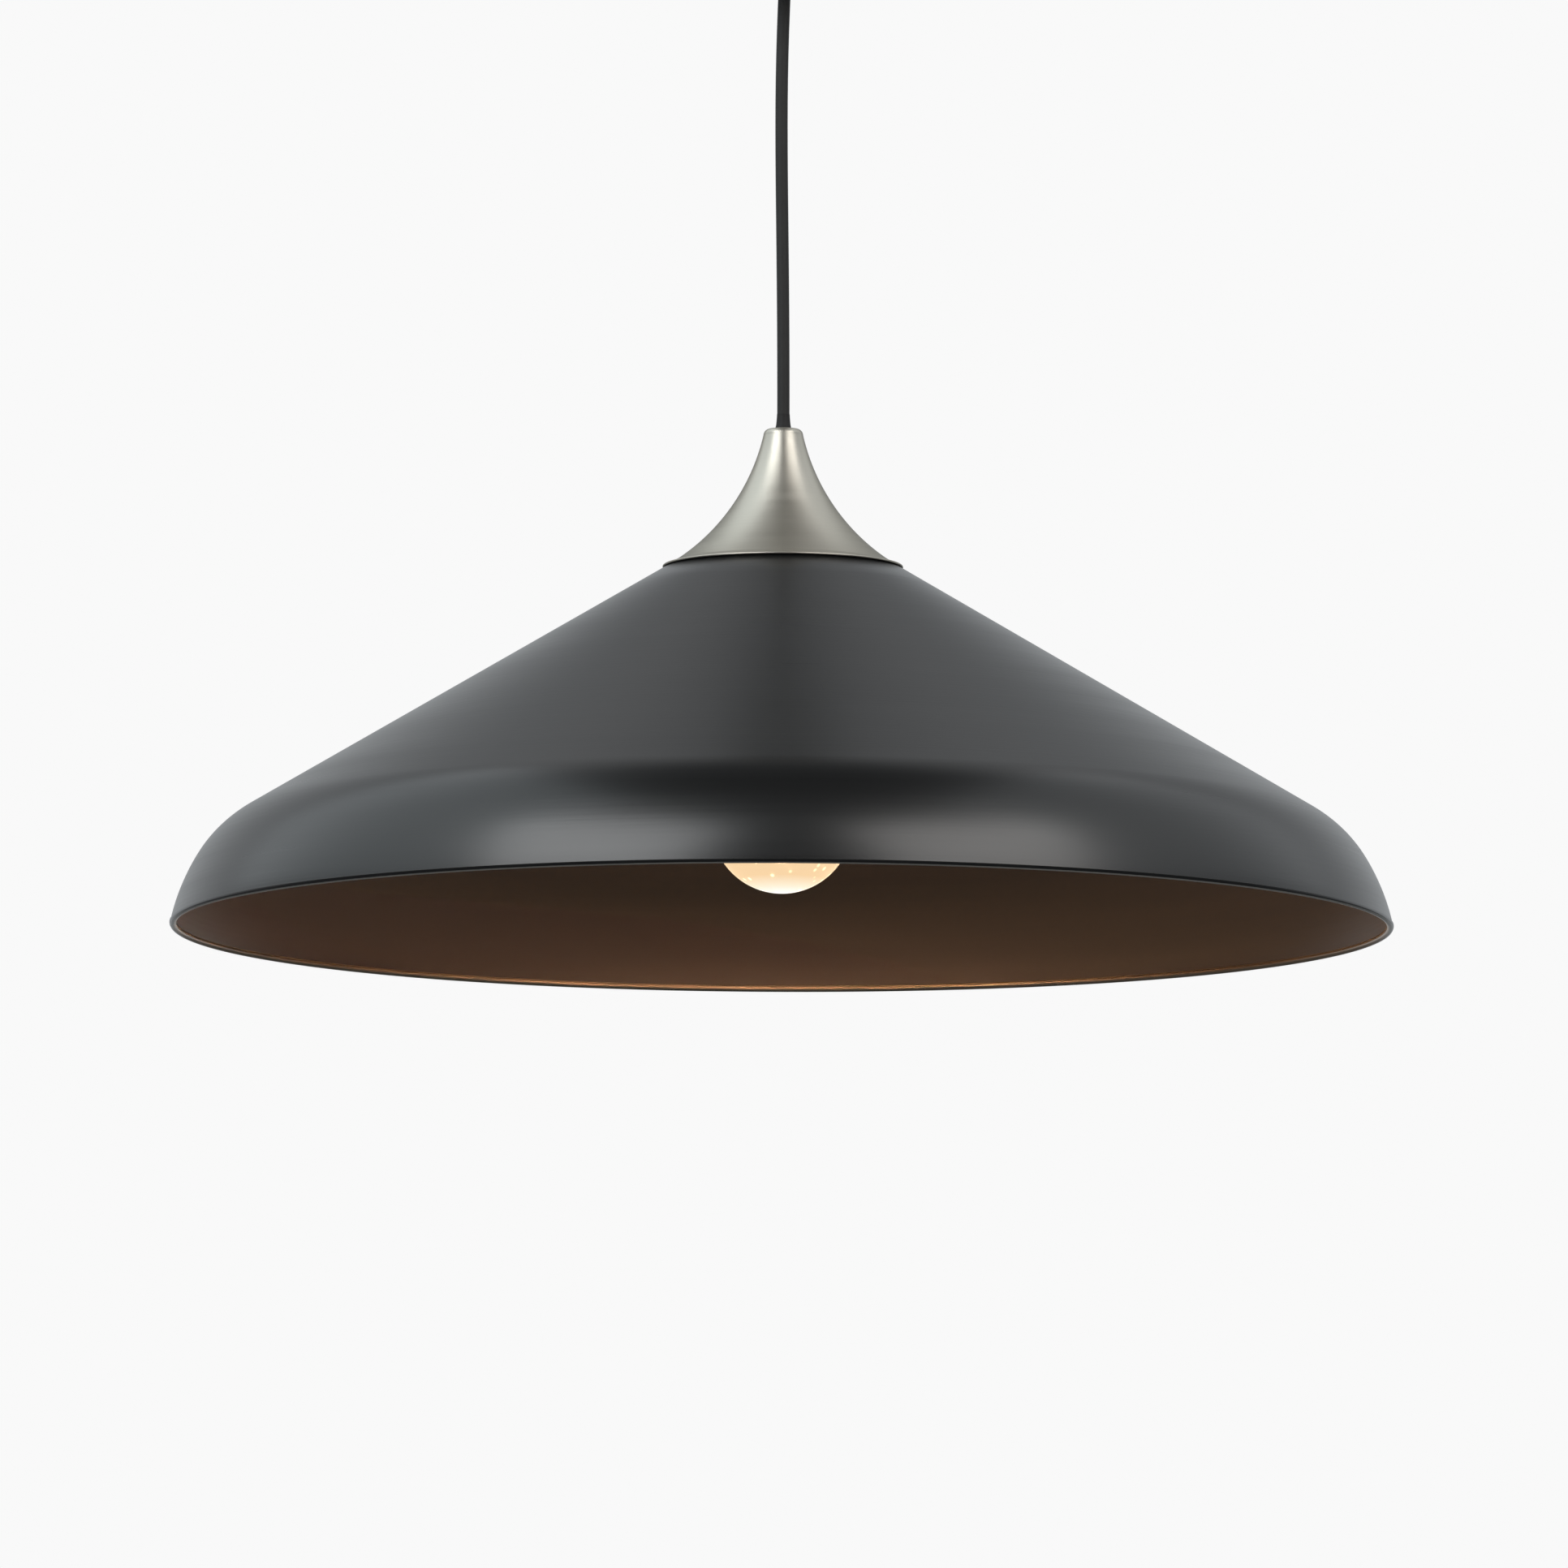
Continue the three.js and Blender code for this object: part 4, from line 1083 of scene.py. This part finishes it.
def make_frame():
    post = [(0, 0, BULB_FOOT_Z + z) for z in (-61.3, -80, -98.2)]
    rods = [swept("frame_post", post, 0.45, 12)]
    beyond = 1.6
    ends = ((FILAMENT_LOW[0], FILAMENT_LOW[1] - beyond), (FILAMENT_TOP[0], FILAMENT_TOP[1] + beyond))
    for i in range(FILAMENTS):
        for reach, height in ends:
            z = BULB_FOOT_Z + height
            arm = swept("frame_arm", [(0, 0, z), (reach / 2, 0, z + 0.3), (reach, 0, z)], 0.35, 12)
            rods.append(placed(arm, turn=90 * i, axis="Z"))
    return joined("filament_wires", *rods)


def make_filament(i):
    low = Vector((FILAMENT_LOW[0], 0, BULB_FOOT_Z + FILAMENT_LOW[1]))
    high = Vector((FILAMENT_TOP[0], 0, BULB_FOOT_Z + FILAMENT_TOP[1]))
    length = (high - low).length
    half = [(0, 0), (0.3, 0), (0.3, 1.1), (0.7, 1.3), (0.9, 1.8)]
    profile = half + [(r, length - z) for r, z in reversed(half)]
    way = (high - low).to_track_quat("Z", "Y").to_matrix().to_4x4()
    obj = moved(turned(f"filament_rod_{i + 1}", profile, 24), Matrix.Translation(low * MM) @ way)
    return placed(obj, turn=90 * i, axis="Z")


piece(make_base(), "bulb", ["bulb_base"], "brushed_nickel", TINNED)
piece(make_insulator(), "bulb", ["bulb_insulator"], "black_plastic", BLACK_GLASS)
piece(make_foot_contact(), "bulb_foot", ["bulb_contact"], "zinc_steel", TINNED)
piece(make_stem(), "bulb", ["bulb_stem"], "bulb_glass", GLASS)
piece(make_frame(), "bulb", ["filament_frame"], "zinc_steel", ZINC)
for i in range(FILAMENTS):
    piece(make_filament(i), "bulb", [f"filament_{i + 1}"], "filament", LIT_FILAMENT)

GLASS_WALL = 1.0
glass = turned("bulb_envelope", glass_outline(0) + glass_outline(GLASS_WALL)[::-1], 128)
piece(glass, "bulb", ["bulb_glass"], "bulb_glass", lit_glass())
glass.visible_shadow = False


# --- Lights, background and floor --------------------------------------------------------------------------

LAMP_CENTRE = Vector((0, 0, -0.35))
BACKGROUND = 0.947
WALL_LIGHT = 0.70         # low on the bright wall behind the lamp
WALL_TOP_LIGHT = 0.32
ROOM_LIGHT = 0.05
FLOOR_LIGHT = 0.09
BULB_POWER = 8.8
BULB_COLOUR = (1.0, 0.52, 0.28)


def area_light(name, azimuth, distance, height, size, power, colour=(1, 1, 1)):
    """Soft box at an azimuth from the camera's side, aimed at the lamp."""
    data = bpy.data.lights.new(name, "AREA")
    data.shape = "RECTANGLE"
    data.size, data.size_y = size
    data.energy = power
    data.color = colour
    light = bpy.data.objects.new(name, data)
    bpy.context.scene.collection.objects.link(light)
    turn = math.radians(azimuth)
    light.location = LAMP_CENTRE + Vector((distance * math.sin(turn), -distance * math.cos(turn), height))
    light.rotation_euler = (LAMP_CENTRE - light.location).to_track_quat("-Z", "Y").to_euler()
    return light


area_light("left_key", -38, 1.98, 1.30, (1.6, 1.25), 20.5, (0.97, 0.99, 1.0))
area_light("right_key", 40, 2.0, 1.30, (1.6, 1.25), 16.0, (1.0, 0.98, 0.96))
area_light("left_side", -96, 1.75, 1.58, (2.8, 2.2), 16.5, (0.88, 0.96, 1.0))
area_light("right_side", 96, 1.75, 1.58, (2.8, 2.2), 10.5, (0.93, 0.97, 1.0))
area_light("left_back", -152, 1.1, 1.9, (0.9, 0.9), 0.6)
area_light("right_back", 152, 1.1, 1.9, (0.9, 0.9), 0.56)


def bulb_light():
    data = bpy.data.lights.new("bulb_glow", "POINT")
    data.energy = BULB_POWER
    data.color = BULB_COLOUR
    data.shadow_soft_size = 0.022
    light = bpy.data.objects.new("bulb_glow", data)
    bpy.context.scene.collection.objects.link(light)
    light.location = (0, 0, BULB_CENTRE_Z * MM)
    light.visible_camera = False
    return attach(light, "bulb")


bulb_light()


def make_world():
    """Pale background for the camera. All else is lit by a bright wall low behind the lamp, in a dim room."""
    world = bpy.data.worlds.new("studio")
    bpy.context.scene.world = world
    world.use_nodes = True
    tree = world.node_tree
    tree.nodes.clear()

    def add(kind, **settings):
        node = tree.nodes.new(kind)
        for key, value in settings.items():
            setattr(node, key, value)
        return node

    def ranged(source, start, end, low, high):
        node = add("ShaderNodeMapRange", interpolation_type="SMOOTHSTEP")
        for key, value in (("From Min", start), ("From Max", end), ("To Min", low), ("To Max", high)):
            node.inputs[key].default_value = value
        tree.links.new(source, node.inputs["Value"])
        return node.outputs["Result"]

    direction = add("ShaderNodeSeparateXYZ")
    tree.links.new(add("ShaderNodeTexCoord").outputs["Generated"], direction.inputs[0])
    wall = add("ShaderNodeMath", operation="MULTIPLY")
    tree.links.new(ranged(direction.outputs["Y"], 0.1, 0.95, 0, 1), wall.inputs[0])
    tree.links.new(ranged(direction.outputs["Z"], 0.15, 0.95, WALL_LIGHT, WALL_TOP_LIGHT), wall.inputs[1])
    above = add("ShaderNodeMath", operation="ADD")
    tree.links.new(wall.outputs[0], above.inputs[0])
    above.inputs[1].default_value = ROOM_LIGHT
    total = add("ShaderNodeMix", data_type="FLOAT")
    tree.links.new(ranged(direction.outputs["Z"], -0.18, -0.08, 0, 1), total.inputs["Factor"])
    total.inputs["A"].default_value = FLOOR_LIGHT
    tree.links.new(above.outputs[0], total.inputs["B"])
    lighting = add("ShaderNodeBackground")
    lighting.inputs["Color"].default_value = (0.93, 0.97, 1.0, 1)
    tree.links.new(total.outputs[0], lighting.inputs["Strength"])
    shown = add("ShaderNodeBackground")
    shown.inputs["Color"].default_value = (BACKGROUND, BACKGROUND, BACKGROUND, 1)
    mix = add("ShaderNodeMixShader")
    tree.links.new(add("ShaderNodeLightPath").outputs["Is Camera Ray"], mix.inputs["Fac"])
    tree.links.new(lighting.outputs[0], mix.inputs[1])
    tree.links.new(shown.outputs[0], mix.inputs[2])
    tree.links.new(mix.outputs[0], add("ShaderNodeOutputWorld").inputs["Surface"])


FLOOR_Z = -13.0    # far below, so that no view from underneath is cut off
FLOOR_HALF = 60.0


def make_floor():
    """Plain pale floor that blends into the background. It only shows: the world stands in for its light."""
    nodes = Nodes("pale_floor")
    cloud = nodes.noise(nodes.object_point, scale=0.4)
    tone = nodes.ramp(cloud, (0.3, (0.944, 0.944, 0.944)), (0.7, (0.948, 0.948, 0.948)))
    nodes.link(tone, nodes.shader.inputs["Emission Color"])
    nodes.set(Base_Color=(0, 0, 0, 1), Specular_IOR_Level=0, Emission_Strength=1.0)
    floor = block("floor", (2 * FLOOR_HALF / MM, 2 * FLOOR_HALF / MM, 20), (0, 0, FLOOR_Z / MM - 10))
    floor.data.materials.append(nodes.material)
    floor.visible_diffuse = floor.visible_glossy = floor.visible_transmission = floor.visible_shadow = False


make_world()
make_floor()
bpy.context.scene.view_settings.view_transform = "Standard"
